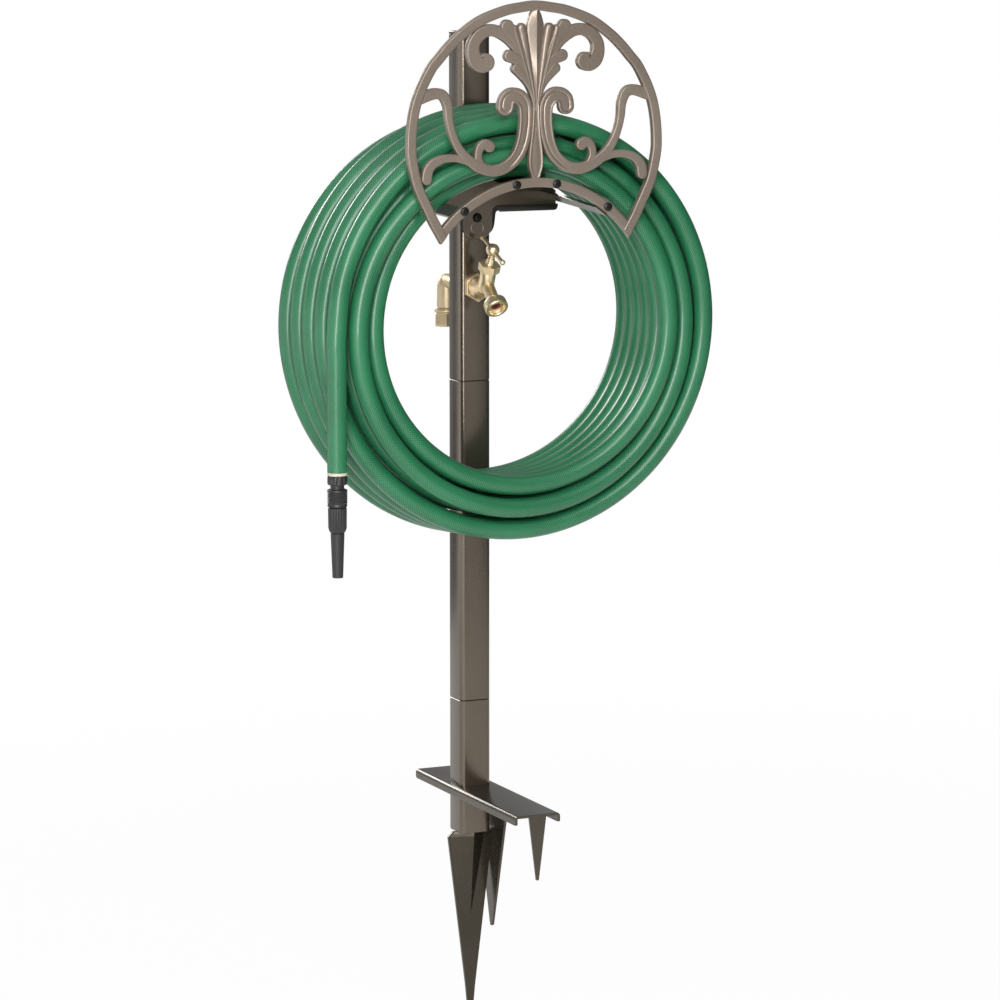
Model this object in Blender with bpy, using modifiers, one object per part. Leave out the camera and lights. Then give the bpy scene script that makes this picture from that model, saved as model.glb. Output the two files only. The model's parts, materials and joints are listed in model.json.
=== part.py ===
"""Hose stand: a square post on a ground spike, with a cast ornamental plate, a saddle that
carries a coiled garden hose, a faucet on the front and a swivel inlet on the back.

The origin is on the post's axis at the ground line, the underside of the step plate.
+X is to the right of someone who faces the ornamental plate, -Y is towards them, +Z is up.
Heights named below are measured from the top face of the step plate.
"""
from math import asin, atan2, cos, degrees, pi, radians, sin, sqrt

import bmesh
import bpy
import numpy as np
from mathutils import Matrix, Vector

# Clearances
GAP = 0.0003                  # between pieces that touch
RUNNING_GAP = 0.0004          # round a stem or a tail that turns
OVERLAP = 0.0010              # how far joined shapes reach into each other
PROUD = 0.0001                # keeps faces of joined shapes out of one plane
DRAWING_UNIT = 0.001          # the casting's outlines are drawn in millimetres

# Step plate and ground spikes
PLATE_SHEET = 0.0030          # steel sheet of the plate, its flanges and prongs
PLATE_HALF_WIDTH = 0.0282
PLATE_FRONT = 0.1885          # from the post's axis to the front end
PLATE_BACK = 0.0950
FLANGE_DROP = 0.0108          # from the plate's top face to the flange's lower edge
FLANGE_CORNER = 0.0032
SIDE_PRONG_HALF_WIDTH = 0.0470
SIDE_PRONG_TIP_HALF_WIDTH = 0.0035
SIDE_PRONG_DEPTH = 0.1750     # below the plate's top face
SIDE_PRONG_OFFSET = 0.0045    # towards the front
FRONT_PRONG_HALF_WIDTH = 0.0110
FRONT_PRONG_TIP_HALF_WIDTH = 0.0018
FRONT_PRONG_DEPTH = 0.0770
SPIKE_SHEET = 0.0035
SPIKE_TOP = 0.0570            # below the plate's top face, where the post ends
SPIKE_SHOULDER = 0.0060
SPIKE_HALF_WIDTH = 0.0284
SPIKE_KNEE = 0.2460
SPIKE_KNEE_HALF_WIDTH = 0.0058
SPIKE_TIP = 0.2930
SPIKE_RIB_HALF_WIDTH = 0.0190
SPIKE_RIB_HEIGHT = 0.0110
SPIKE_RIB_END = 0.1600
SPIKE_TONGUE = 0.0260         # how far the spike reaches up inside the post

# Post
POST_SIDE = 0.0381
POST_WALL = 0.0016
POST_CORNER = 0.0065
POST_SEAM_LOW = 0.1020
POST_SEAM_HIGH = 0.4780
POST_TOP = 0.8800
COUPLER_HALF_LENGTH = 0.0350
COUPLER_WALL = 0.0015
CAP_HEIGHT = 0.0040
CAP_SKIRT = 0.0120

# Ornamental plate
ORNAMENT_FRONT = 0.1834       # from the post's axis to the front face
ORNAMENT_THICKNESS = 0.0080
RELIEF_STEP = 0.00125         # a joined shape lies a number of these below the ring's face
ARCH_HEIGHT = 0.5706          # centre of the arch above the step plate
ARCH_INNER = 0.1412
ARCH_OUTER = 0.1518
ARCH_END = 0.0935             # height of its ends above its centre
RING_WIDTH = 0.0110
SCREW_RADIUS = 0.1465         # of the circle through the plate screws
INNER_SCREW_X = 0.0245
OUTER_SCREW_X = 0.0881
SCREW_SHANK = 0.0022
SCREW_HEAD = 0.0050
SCREW_HEAD_HEIGHT = 0.0026
NUT_FLATS = 0.0070
NUT_HEIGHT = 0.0030

# Saddle
SADDLE_SHEET = 0.0030
SADDLE_SLOPE = 0.065          # rise of the straps for each metre towards the back
STRAP_TOP = 0.1465            # radius of the centre strap's top at the ornamental plate
CENTRE_STRAP_HALF_WIDTH = 0.0300
CENTRE_STRAP_NECK = 0.0185    # half width between the screws
NECK_LENGTH = 0.0120
SIDE_STRAP_WIDTH = 0.0165
SIDE_STRAP_TOP = 0.1420
FLANGE_INNER = 0.1418
FLANGE_OUTER = 0.1508
BACK_PLATE_HALF_WIDTH = 0.1000
BACK_PLATE_CREASE = 0.6800
BACK_PLATE_LIP = 0.0075
BACK_PLATE_LEAN = 0.0035
LUG_HALF_WIDTH = 0.0190
LUG_BOTTOM = 0.6410
LUG_BOLT_HEIGHT = 0.6670
LUG_BOLT_SHANK = 0.0030
LUG_BOLT_HEAD = 0.0055
LUG_BOLT_HEAD_HEIGHT = 0.0040
LUG_NUT_FLATS = 0.0100
LUG_NUT_HEIGHT = 0.0050
BACK_PLATE_RADIUS = 0.1600    # of its arched top
LUG_FILLET = 0.0085

# Faucet
FAUCET_HEIGHT = 0.5870
NIPPLE_RADIUS = 0.0085
NIPPLE_BORE = 0.0060
LOCK_NUT_FLATS = 0.0294
LOCK_NUT_LENGTH = 0.0075
BARREL_RADIUS = 0.0105
BARREL_SOCKET = 0.0090        # how far the nipple reaches into the barrel
HUB_FORWARD = 0.0655          # ball hub of the handle, in front of the post's axis
HUB_HEIGHT = 0.6330
STEM_TILT = 24.5              # degrees forward of vertical
SEAT_BELOW_HUB = 0.0440       # the valve seat, along the stem's axis
NECK_BELOW_HUB = 0.0275
NECK_FOOT = 0.0100            # body below the seat
NECK_RADIUS = 0.0098
CHAMBER_RADIUS = 0.0068
SEAT_BORE = 0.0040
SPOUT_FORWARD = 0.0777        # centre of the mouth
SPOUT_HEIGHT = 0.5664
SPOUT_RADIUS = 0.0082
SPOUT_BORE = 0.0035
SPOUT_BORE_AIM = 0.0385       # where the outlet bore meets the chamber, below the hub
MOUTH_RADIUS = 0.0135
MOUTH_LENGTH = 0.0120
MOUTH_BORE = 0.0095
MOUTH_DEPTH = 0.0060
OUTLET_WASHER_RADIUS = 0.0056 # it sits in a pocket of its own below the mouth's floor
OUTLET_WASHER_HOLE = 0.0025
OUTLET_WASHER_THICKNESS = 0.0025
BONNET_FLATS = 0.0220
BONNET_HEIGHT = 0.0092
BONNET_NECK_RADIUS = 0.0058
BONNET_TOP_RADIUS = 0.0044
BONNET_NECK = 0.0080
STEM_RADIUS = 0.0032
STEM_FOOT_RADIUS = 0.0052
STEM_FOOT_THICKNESS = 0.0012
WASHER_THICKNESS = 0.0024
WASHER_SCREW_SHANK = 0.0014
WASHER_SCREW_HEAD = 0.0026
WASHER_SCREW_DEPTH = 0.0050
VALVE_TURNS = 2.0             # from shut to fully open
VALVE_PITCH = 0.00175         # rise of the stem for each turn
HUB_RADIUS = 0.0078
HUB_FLAT_RADIUS = 0.0048      # of the flat on top of the ball
HUB_NECK_RADIUS = 0.0043
HUB_NECK_END = 0.0092         # below the hub's centre
BAR_LENGTH = 0.0655           # over its ball ends
BAR_RADIUS = 0.0019
BAR_BALL_RADIUS = 0.0035

# Inlet at the back
BACK_NUT_FLATS = 0.0260
BACK_NUT_LENGTH = 0.0065
ELBOW_BACK = 0.0640           # axis of the vertical leg behind the post's axis
ELBOW_RADIUS = 0.0110
ELBOW_BORE = 0.0070
ELBOW_BEND = 0.0140
ELBOW_START = 0.0440
ELBOW_SOCKET = 0.0080
ELBOW_FOOT = 0.5560
TAIL_RADIUS = 0.0095
TAIL_LIP = 0.0116
TAIL_LIP_THICKNESS = 0.0020
COUPLING_RADIUS = 0.0152      # of the round nut on the hose
COUPLING_FLATS = 0.0268       # of the hexagonal nut under the elbow
COUPLING_TURN = -25.0         # degrees by which its corners stand turned from the front
COUPLING_BORE = 0.0122
COUPLING_TOP = 0.5540
COUPLING_LENGTH = 0.0200
COUPLING_SHOULDER = 0.0030
INLET_WASHER_THICKNESS = 0.0030

# Hose
HOSE_RADIUS = 0.0110
COIL_SEAT = 0.00175           # room under the coil, so that its straight facets clear the strap
COIL_OFFSET = -0.0030         # the coil's axis from the post's axis
COIL_FRONT = 0.1625           # centre of the first loop in front of the post's axis
COIL_BACK = 0.0390
COIL_TOP_RADIUS = 0.1780      # centre line of the inner layer at the front
LAYER_RISE = 0.0260
COIL_TAIL_BACK = 0.0123
LEAD_BACK = 0.0315            # depth by which the hose passes in front of the post
LEAD_TURN = 0.34
CLIMB_TURN = 0.75             # before the inner layer's end, at the top of the coil
CLIMB_ROOM = 0.0230           # depth between the loop there and the one that climbs past it
START_ANGLE = 135.0
INNER_TURNS = 5.625
MIDDLE_TURNS = 4.5
OUTER_TURNS = 4.0
POINTS_A_TURN = 24
TAIL_FERRULE_RADIUS = 0.0120
TAIL_COUPLING_LENGTH = 0.0450
HANG_END = 0.4033             # height of the cut end of the hose
HANG_BOW = 0.0005             # how far the hanging end bends outwards
END_RING_LENGTH = 0.0035
COLLAR_RADIUS = 0.0110
COLLAR_LENGTH = 0.0100
GROOVE_RADIUS = 0.0080
GROOVE_LENGTH = 0.0050
CONTROL_RING_RADIUS = 0.0115
CONTROL_RING_LENGTH = 0.0200
BODY_RADIUS = 0.0105
BODY_LENGTH = 0.0290
NOZZLE_TIP_RADIUS = 0.0078
NOZZLE_END_RADIUS = 0.0060
NOZZLE_TIP_LENGTH = 0.0500
NOZZLE_BORE = 0.0040

STEPS = 24                    # sides of a turned piece

PLATE_TOP = PLATE_SHEET
POST_HALF = POST_SIDE / 2
ORNAMENT_BACK = ORNAMENT_FRONT - ORNAMENT_THICKNESS
BACK_PLATE_FRONT = POST_HALF + GAP + SADDLE_SHEET

PARTS = "Hose stand"
HELPERS = "Cutters and joined shapes"


def up(height):
    """World height of a point measured from the step plate's top face."""
    return PLATE_TOP + height


def start_scene():
    for obj in list(bpy.data.objects):
        bpy.data.objects.remove(obj, do_unlink=True)
    for name in (PARTS, HELPERS):
        collection = bpy.data.collections.new(name)
        bpy.context.scene.collection.children.link(collection)
    bpy.data.collections[HELPERS].hide_render = True


def material(name, colour, roughness, metallic):
    made = bpy.data.materials.new(name)
    made.use_nodes = True
    shader = made.node_tree.nodes["Principled BSDF"]
    shader.inputs["Base Color"].default_value = (*colour, 1.0)
    shader.inputs["Roughness"].default_value = roughness
    shader.inputs["Metallic"].default_value = metallic
    made.diffuse_color = (*colour, 1.0)
    return made


def place(obj, finish):
    """Puts an object among the parts, with its material."""
    bpy.data.collections[PARTS].objects.link(obj)
    obj.data.materials.append(finish)
    return obj


def helper(obj):
    """Puts an object among the hidden cutters and joined shapes."""
    bpy.data.collections[HELPERS].objects.link(obj)
    obj.hide_render = True
    obj.display_type = "WIRE"
    return obj


def object_of(name, bm):
    mesh = bpy.data.meshes.new(name)
    bm.to_mesh(mesh)
    bm.free()
    return bpy.data.objects.new(name, mesh)


def smooth(obj, angle=40):
    obj.data.shade_smooth()
    obj.data.set_sharp_from_angle(angle=radians(angle))
    return obj


def block(name, low, high):
    """A box between two corners."""
    bm = bmesh.new()
    bmesh.ops.create_cube(bm, size=1.0)
    low, high = Vector(low), Vector(high)
    bm.transform(Matrix.Translation((low + high) / 2) @ Matrix.Diagonal((*(high - low), 1.0)))
    return object_of(name, bm)


def rod(name, start, end, radius, far_radius=None, sides=STEPS, turn=0.0):
    """A cylinder, cone or regular prism from one point to another."""
    start, end = Vector(start), Vector(end)
    along = end - start
    bm = bmesh.new()
    bmesh.ops.create_cone(
        bm, cap_ends=True, segments=sides, radius1=radius,
        radius2=radius if far_radius is None else far_radius, depth=along.length,
    )
    bm.transform(Matrix.Rotation(turn, 4, "Z"))
    bm.transform(along.to_track_quat("Z", "Y").to_matrix().to_4x4())
    bm.transform(Matrix.Translation((start + end) / 2))
    return smooth(object_of(name, bm)) if sides >= 12 else object_of(name, bm)


def hex_prism(name, start, end, across_flats, turn=0.0):
    return rod(name, start, end, across_flats / (2 * cos(pi / 6)), sides=6, turn=turn)


def turned(name, profile, origin=(0, 0, 0), direction=(0, 0, 1), steps=STEPS):
    """A profile of (radius, height) points, from the top down its outer side, spun round an axis."""
    mesh = bpy.data.meshes.new(name)
    closed = profile[0][0] > 0 and profile[-1][0] > 0
    edges = [(i, i + 1) for i in range(len(profile) - 1)]
    if closed:
        edges.append((len(profile) - 1, 0))
    mesh.from_pydata([(radius, 0, height) for radius, height in profile], edges, [])
    obj = bpy.data.objects.new(name, mesh)
    screw = obj.modifiers.new("Spin", "SCREW")
    screw.steps = steps
    screw.render_steps = steps
    screw.use_merge_vertices = True
    screw.merge_threshold = 0.00001
    screw.use_smooth_shade = False
    obj.location = origin
    obj.rotation_mode = "QUATERNION"
    obj.rotation_quaternion = Vector(direction).to_track_quat("Z", "Y")
    return obj


def outline(name, points, thickness, holes=()):
    """A flat outline of (across, along) points in the local XY plane, thick both ways."""
    curve = bpy.data.curves.new(name, "CURVE")
    curve.dimensions = "2D"
    curve.fill_mode = "BOTH"
    curve.extrude = thickness / 2
    for ring in (points, *holes):
        spline = curve.splines.new("POLY")
        spline.points.add(len(ring) - 1)
        for point, (across, along) in zip(spline.points, ring):
            point.co = (across, along, 0, 1)
        spline.use_cyclic_u = True
    return bpy.data.objects.new(name, curve)


def tube(name, route, radius, resolution=2):
    """A tube with flat ends along straight runs between points."""
    curve = bpy.data.curves.new(name, "CURVE")
    curve.dimensions = "3D"
    curve.bevel_depth = radius
    curve.bevel_resolution = resolution
    curve.use_fill_caps = True
    spline = curve.splines.new("POLY")
    spline.points.add(len(route) - 1)
    for point, place_at in zip(spline.points, route):
        point.co = (*place_at, 1)
    return bpy.data.objects.new(name, curve)


def as_mesh(obj, matrix=Matrix()):
    """The object's evaluated shape as a plain mesh object under the same name, moved by a matrix."""
    name = obj.name
    scene = bpy.context.scene.collection
    scene.objects.link(obj)
    bpy.context.view_layer.update()
    evaluated = obj.evaluated_get(bpy.context.evaluated_depsgraph_get())
    mesh = bpy.data.meshes.new_from_object(evaluated)
    mesh.transform(matrix @ obj.matrix_world)
    bpy.data.objects.remove(obj, do_unlink=True)
    bm = bmesh.new()
    bm.from_mesh(mesh)
    bmesh.ops.remove_doubles(bm, verts=bm.verts, dist=0.00001)
    bmesh.ops.recalc_face_normals(bm, faces=bm.faces)
    bm.to_mesh(mesh)
    bm.free()
    mesh.name = name
    made = bpy.data.objects.new(name, mesh)
    made.name = name
    return made


def combine(obj, others, operation):
    for other in others:
        helper(other)
        change = obj.modifiers.new(other.name, "BOOLEAN")
        change.operation = operation
        change.object = other
        change.solver = "EXACT"
    return obj


def join(obj, *others):
    return combine(obj, others, "UNION")


def cut(obj, *others):
    return combine(obj, others, "DIFFERENCE")


def bevelled(obj, width, segments=2, angle=40):
    edge = obj.modifiers.new("Rounded edges", "BEVEL")
    edge.width = width
    edge.segments = segments
    edge.limit_method = "ANGLE"
    edge.angle_limit = radians(angle)
    edge.use_clamp_overlap = True
    return obj


def arc(centre, radius, start, end, count):
    """Points on an arc, with angles in degrees anticlockwise from the first axis."""
    turns = [radians(start + (end - start) * i / (count - 1)) for i in range(count)]
    return [(centre[0] + radius * cos(a), centre[1] + radius * sin(a)) for a in turns]


def rounded_rectangle(half_x, half_y, corner, count=5):
    points = []
    for quarter in range(4):
        sign_x = 1 if quarter in (0, 3) else -1
        sign_y = 1 if quarter in (0, 1) else -1
        centre = (sign_x * (half_x - corner), sign_y * (half_y - corner))
        points += arc(centre, corner, 90 * quarter, 90 * quarter + 90, count)
    return points


def upright(height, depth):
    """Turns an outline drawn as (right, up) so that it stands facing the front."""
    return Matrix.Translation((0, depth, height)) @ Matrix.Rotation(pi / 2, 4, "X")


def square_tube(name, low, high, half, wall, corner):
    outer = rounded_rectangle(half, half, corner)
    inner = rounded_rectangle(half - wall, half - wall, max(corner - wall, wall / 2))
    shell = outline(name, outer, high - low, [inner])
    return smooth(as_mesh(shell, Matrix.Translation((0, 0, (low + high) / 2))))


def hull(name, points):
    """The smallest closed shape round some points."""
    bm = bmesh.new()
    for point in points:
        bm.verts.new(point)
    bmesh.ops.convex_hull(bm, input=bm.verts)
    bmesh.ops.recalc_face_normals(bm, faces=bm.faces)
    return object_of(name, bm)


def make_step_plate(steel):
    """One folded sheet: the plate, two flanges, a prong at the front end and one in the right flange."""
    low = up(-FLANGE_DROP)
    bend = PLATE_SHEET * 1.3
    outer = PLATE_HALF_WIDTH
    inner = PLATE_HALF_WIDTH - PLATE_SHEET
    section = [(-outer, low), (-inner, low), (-inner, 0.0), (inner, 0.0), (inner, low), (outer, low)]
    section += arc((outer - bend, PLATE_TOP - bend), bend, 0, 90, 4)
    section += arc((bend - outer, PLATE_TOP - bend), bend, 90, 180, 4)
    length = PLATE_FRONT + PLATE_BACK
    middle = (PLATE_BACK - PLATE_FRONT) / 2
    plate = as_mesh(outline("step_plate", section, length), upright(0, middle))

    corner = FLANGE_CORNER
    side = arc((PLATE_BACK - corner, low + corner), corner, -90, 0, 5)
    side += [(PLATE_BACK, PLATE_TOP + OVERLAP), (-PLATE_FRONT - OVERLAP, PLATE_TOP + OVERLAP)]
    side += arc((corner - PLATE_FRONT - OVERLAP, low + corner), corner, 180, 270, 5)
    facing_side = Matrix.Rotation(pi / 2, 4, "Z") @ Matrix.Rotation(pi / 2, 4, "X")
    rounding = as_mesh(outline("flange ends", side, 4 * PLATE_HALF_WIDTH), facing_side)
    combine(plate, [rounding], "INTERSECT")

    wide, narrow = SIDE_PRONG_HALF_WIDTH, SIDE_PRONG_TIP_HALF_WIDTH
    prong_low = up(-SIDE_PRONG_DEPTH)
    prong = [(wide - SIDE_PRONG_OFFSET, low + OVERLAP), (-wide - SIDE_PRONG_OFFSET, low + OVERLAP)]
    prong += arc((-SIDE_PRONG_OFFSET, prong_low + narrow), narrow, 200, 340, 5)
    shift = Matrix.Translation((PLATE_HALF_WIDTH - PLATE_SHEET / 2, 0, 0))
    side_prong = as_mesh(outline("side prong", prong, PLATE_SHEET), shift @ facing_side)

    wide, narrow = FRONT_PRONG_HALF_WIDTH, FRONT_PRONG_TIP_HALF_WIDTH
    tip = up(-FRONT_PRONG_DEPTH)
    prong = [(wide, PLATE_TOP - OVERLAP), (-wide, PLATE_TOP - OVERLAP)]
    prong += arc((0, tip + narrow), narrow, 190, 350, 5)
    front = as_mesh(outline("front prong", prong, PLATE_SHEET), upright(0, PLATE_SHEET / 2 - PLATE_FRONT))

    hole_half = POST_HALF + GAP
    hole = outline("post hole", rounded_rectangle(hole_half, hole_half, POST_CORNER + GAP), 6 * PLATE_SHEET)
    taper = (SPIKE_HALF_WIDTH - SPIKE_KNEE_HALF_WIDTH) / (SPIKE_KNEE - SPIKE_TOP - SPIKE_SHOULDER)
    slot_half = SPIKE_SHEET / 2 + GAP
    slot_top = up(-SPIKE_TOP)
    slot_low = slot_top - SPIKE_SHOULDER - (SPIKE_HALF_WIDTH - inner) / taper - 3 * GAP
    slot = block("spike slot", (0, -slot_half, slot_low), (2 * outer, slot_half, slot_top))
    join(plate, side_prong, front)
    cut(plate, as_mesh(hole), slot)
    place(plate, steel)


def make_main_spike(steel):
    """A pointed blade with a pressed rib, whose tongue reaches up inside the post."""
    tongue = POST_HALF - POST_WALL - GAP
    top = up(-SPIKE_TOP) - GAP
    shoulder = top - SPIKE_SHOULDER
    knee = up(-SPIKE_KNEE)
    tip = up(-SPIKE_TIP)
    inner_corner = POST_HALF - POST_CORNER
    right = [(tongue - GAP, top + SPIKE_TONGUE - inner_corner / 4), (tongue - GAP, top)]
    right += [(SPIKE_HALF_WIDTH - SPIKE_SHOULDER, top), (SPIKE_HALF_WIDTH, shoulder)]
    right += [(SPIKE_KNEE_HALF_WIDTH, knee), (SPIKE_KNEE_HALF_WIDTH / 4, tip)]
    left = [(-across, along) for across, along in reversed(right)]
    blade = as_mesh(outline("main_spike", right + left, SPIKE_SHEET), upright(0, 0))
    bevelled(blade, SPIKE_SHEET / 5, 1)

    def rib(name, depth, half, height, low, extra):
        face = depth - SPIKE_SHEET / 2
        return hull(name, [
            (-half, face, top + extra), (half, face, top + extra), (0, face - height, top + extra),
            (-half, face + OVERLAP, top + extra), (half, face + OVERLAP, top + extra),
            (0, face, low), (0, face + OVERLAP, low),
        ])

    end = up(-SPIKE_RIB_END)
    ridge = rib("rib", 0, SPIKE_RIB_HALF_WIDTH, SPIKE_RIB_HEIGHT, end, 0)
    slope = SPIKE_RIB_HEIGHT / (top - end)
    hollow_end = end + SPIKE_SHEET / slope
    hollow = rib(
        "rib hollow", SPIKE_SHEET, SPIKE_RIB_HALF_WIDTH, SPIKE_RIB_HEIGHT, hollow_end, OVERLAP,
    )
    join(blade, ridge)
    cut(blade, hollow)
    place(blade, steel)


def make_post(paint):
    """Three square tubes that stack on inner couplers, with a cap."""
    bottom = up(-SPIKE_TOP)
    low_seam = up(POST_SEAM_LOW)
    high_seam = up(POST_SEAM_HIGH)
    top = up(POST_TOP) - CAP_HEIGHT
    half, wall, corner = POST_HALF, POST_WALL, POST_CORNER
    place(square_tube("post_lower", bottom, low_seam - GAP / 2, half, wall, corner), paint)
    place(square_tube("post_middle", low_seam + GAP / 2, high_seam - GAP / 2, half, wall, corner), paint)
    upper = square_tube("post_upper", high_seam + GAP / 2, top - GAP, half, wall, corner)
    hole_radius = NIPPLE_RADIUS + GAP
    nipple_height = up(FAUCET_HEIGHT)
    bolt_height = up(LUG_BOLT_HEIGHT)
    cut(
        upper,
        rod("nipple hole", (0, -POST_SIDE, nipple_height), (0, POST_SIDE, nipple_height), hole_radius),
        rod("lug bolt hole", (0, -POST_SIDE, bolt_height), (0, POST_SIDE, bolt_height),
            LUG_BOLT_SHANK + GAP, sides=16),
    )
    place(upper, paint)
    inner = half - wall - GAP
    inner_corner = max(corner - wall - GAP, COUPLER_WALL)
    for name, seam in (("coupler_low", low_seam), ("coupler_high", high_seam)):
        low, high = seam - COUPLER_HALF_LENGTH, seam + COUPLER_HALF_LENGTH
        place(square_tube(name, low, high, inner, COUPLER_WALL, inner_corner), paint)

    cap = as_mesh(
        outline("post_cap", rounded_rectangle(half, half, corner), CAP_HEIGHT),
        Matrix.Translation((0, 0, top + CAP_HEIGHT / 2)),
    )
    bevelled(cap, CAP_HEIGHT / 3, 2)
    skirt_middle = top - (CAP_SKIRT - OVERLAP) / 2
    skirt = outline("cap skirt", rounded_rectangle(inner, inner, inner_corner), CAP_SKIRT + OVERLAP)
    join(cap, as_mesh(skirt, Matrix.Translation((0, 0, skirt_middle))))
    place(smooth(cap), paint)


def smooth_line(points, per):
    """Points on a Catmull-Rom curve through the given points, with so many steps between two of them."""
    line = np.array(points, float)
    ends = np.vstack([2 * line[0] - line[1], line, 2 * line[-1] - line[-2]])
    steps = np.arange(per) / per
    found = []
    for a, b, c, d in zip(ends, ends[1:], ends[2:], ends[3:]):
        for t in steps:
            found.append(0.5 * (2 * b + (c - a) * t + (2 * a - 5 * b + 4 * c - d) * t**2
                                + (3 * b - a - 3 * c + d) * t**3))
    found.append(line[-1])
    return np.array(found)


def band(line, widths, per=2, side=0.0, round_end=False):
    """The outline of a band along a smooth line, in metres from points in millimetres.

    The widths run evenly from the first point to the last. side moves the band across its
    line, in half widths: 1 puts it wholly to the right of the way it runs.
    """
    middle = smooth_line(line, per)
    along = np.gradient(middle, axis=0)
    along /= np.linalg.norm(along, axis=1)[:, None]
    across = np.stack([along[:, 1], -along[:, 0]], axis=1)
    half = np.interp(np.linspace(0, 1, len(middle)), np.linspace(0, 1, len(widths)), widths)[:, None] / 2
    right = middle + across * half * (side + 1)
    left = middle + across * half * (side - 1)
    points = list(right)
    if round_end:
        for turn in (-45, 0, 45):
            bend = cos(radians(turn)) * along[-1] - sin(radians(turn)) * across[-1]
            points.append(middle[-1] + half[-1] * bend)
    points += list(left[::-1])
    return [(DRAWING_UNIT * x, DRAWING_UNIT * y) for x, y in points]


RING_EDGE = [
    (-14, 347), (0, 347.4), (40, 341.4), (70, 330.4), (94.4, 314.4), (110, 300.4), (120.6, 288.8),
    (130, 278.2), (138.8, 263.2), (145, 250.4), (150.6, 234.4), (154.4, 214.4), (156, 191.9),
    (155, 174.4), (149.4, 148.2), (143.5, 133.4), (136.5, 119.4), (128.5, 103.4), (120, 89), (116.2, 84.6),
]
DROP_HALF = [
    (-4, 148), (0, 148), (5, 154.4), (8.3, 160.4), (9.5, 170.4), (9.5, 179.4), (8.5, 189.4),
    (6.5, 201.4), (5, 219.4), (4, 231), (-4, 231),
]
PALMETTE_HALF = [
    (-4, 227), (4, 227), (4.4, 236), (5.5, 243), (9, 251.4), (13, 259), (17, 274.4), (20, 284),
    (22.5, 292), (27, 299), (30, 312), (24, 316.9), (13, 316.9), (10, 318.5), (10, 322.4),
    (8, 329.4), (4.5, 335.4), (4, 341), (-4, 341),
]
SCROLL_LIMB = [
    (14, 229.4), (13.5, 209.4), (15, 193.4), (20.5, 179.4), (29, 170.4), (40, 163.9), (53, 161.7),
    (65, 164.4), (76, 169.9), (85, 176.4), (94, 187.4), (100.7, 201.4), (105, 217.4), (106.2, 233),
    (111, 243.4), (118, 246.9), (127, 246), (141, 240.5),
]
SMALL_CURL = [(73, 163), (71.8, 170), (70.8, 177.4), (69.2, 184), (64.5, 189.5), (57, 189.5)]
LOWER_LIMB = [
    (76, 168), (84, 171.8), (92, 173.9), (100, 175.6), (110, 175.4), (120, 173.4), (127.5, 168.4),
    (132, 160.4), (132.8, 152.9),
]
TOP_SCROLL = [
    (14, 277), (24, 293.4), (33, 304.4), (45, 313.4), (57, 315.4), (68, 310.4), (75, 300.9),
    (75.6, 290), (71, 281.5),
]
VOLUTE_EYE = (30, 232.4)
VOLUTE_RADII = [12.0, 12.4, 15.5, 17.8, 18.0, 18.0, 19.5, 21.5]


def volute():
    """A filled scroll head whose radius grows from its foot, by the right, to the limb on its left."""
    turns = np.radians(np.linspace(-135, 180, len(VOLUTE_RADII)))
    corner = [(VOLUTE_EYE[0] - 20, VOLUTE_EYE[1] - 16)]
    around = [(VOLUTE_EYE[0] + r * cos(a), VOLUTE_EYE[1] + r * sin(a)) for r, a in zip(VOLUTE_RADII, turns)]
    line = smooth_line(around, 2)
    return [(DRAWING_UNIT * x, DRAWING_UNIT * y) for x, y in [*line, *corner]]


def disc(centre, radius, count=14):
    unit = DRAWING_UNIT
    return arc((unit * centre[0], unit * centre[1]), unit * radius, 0, 360 - 360 / count, count)


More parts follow.
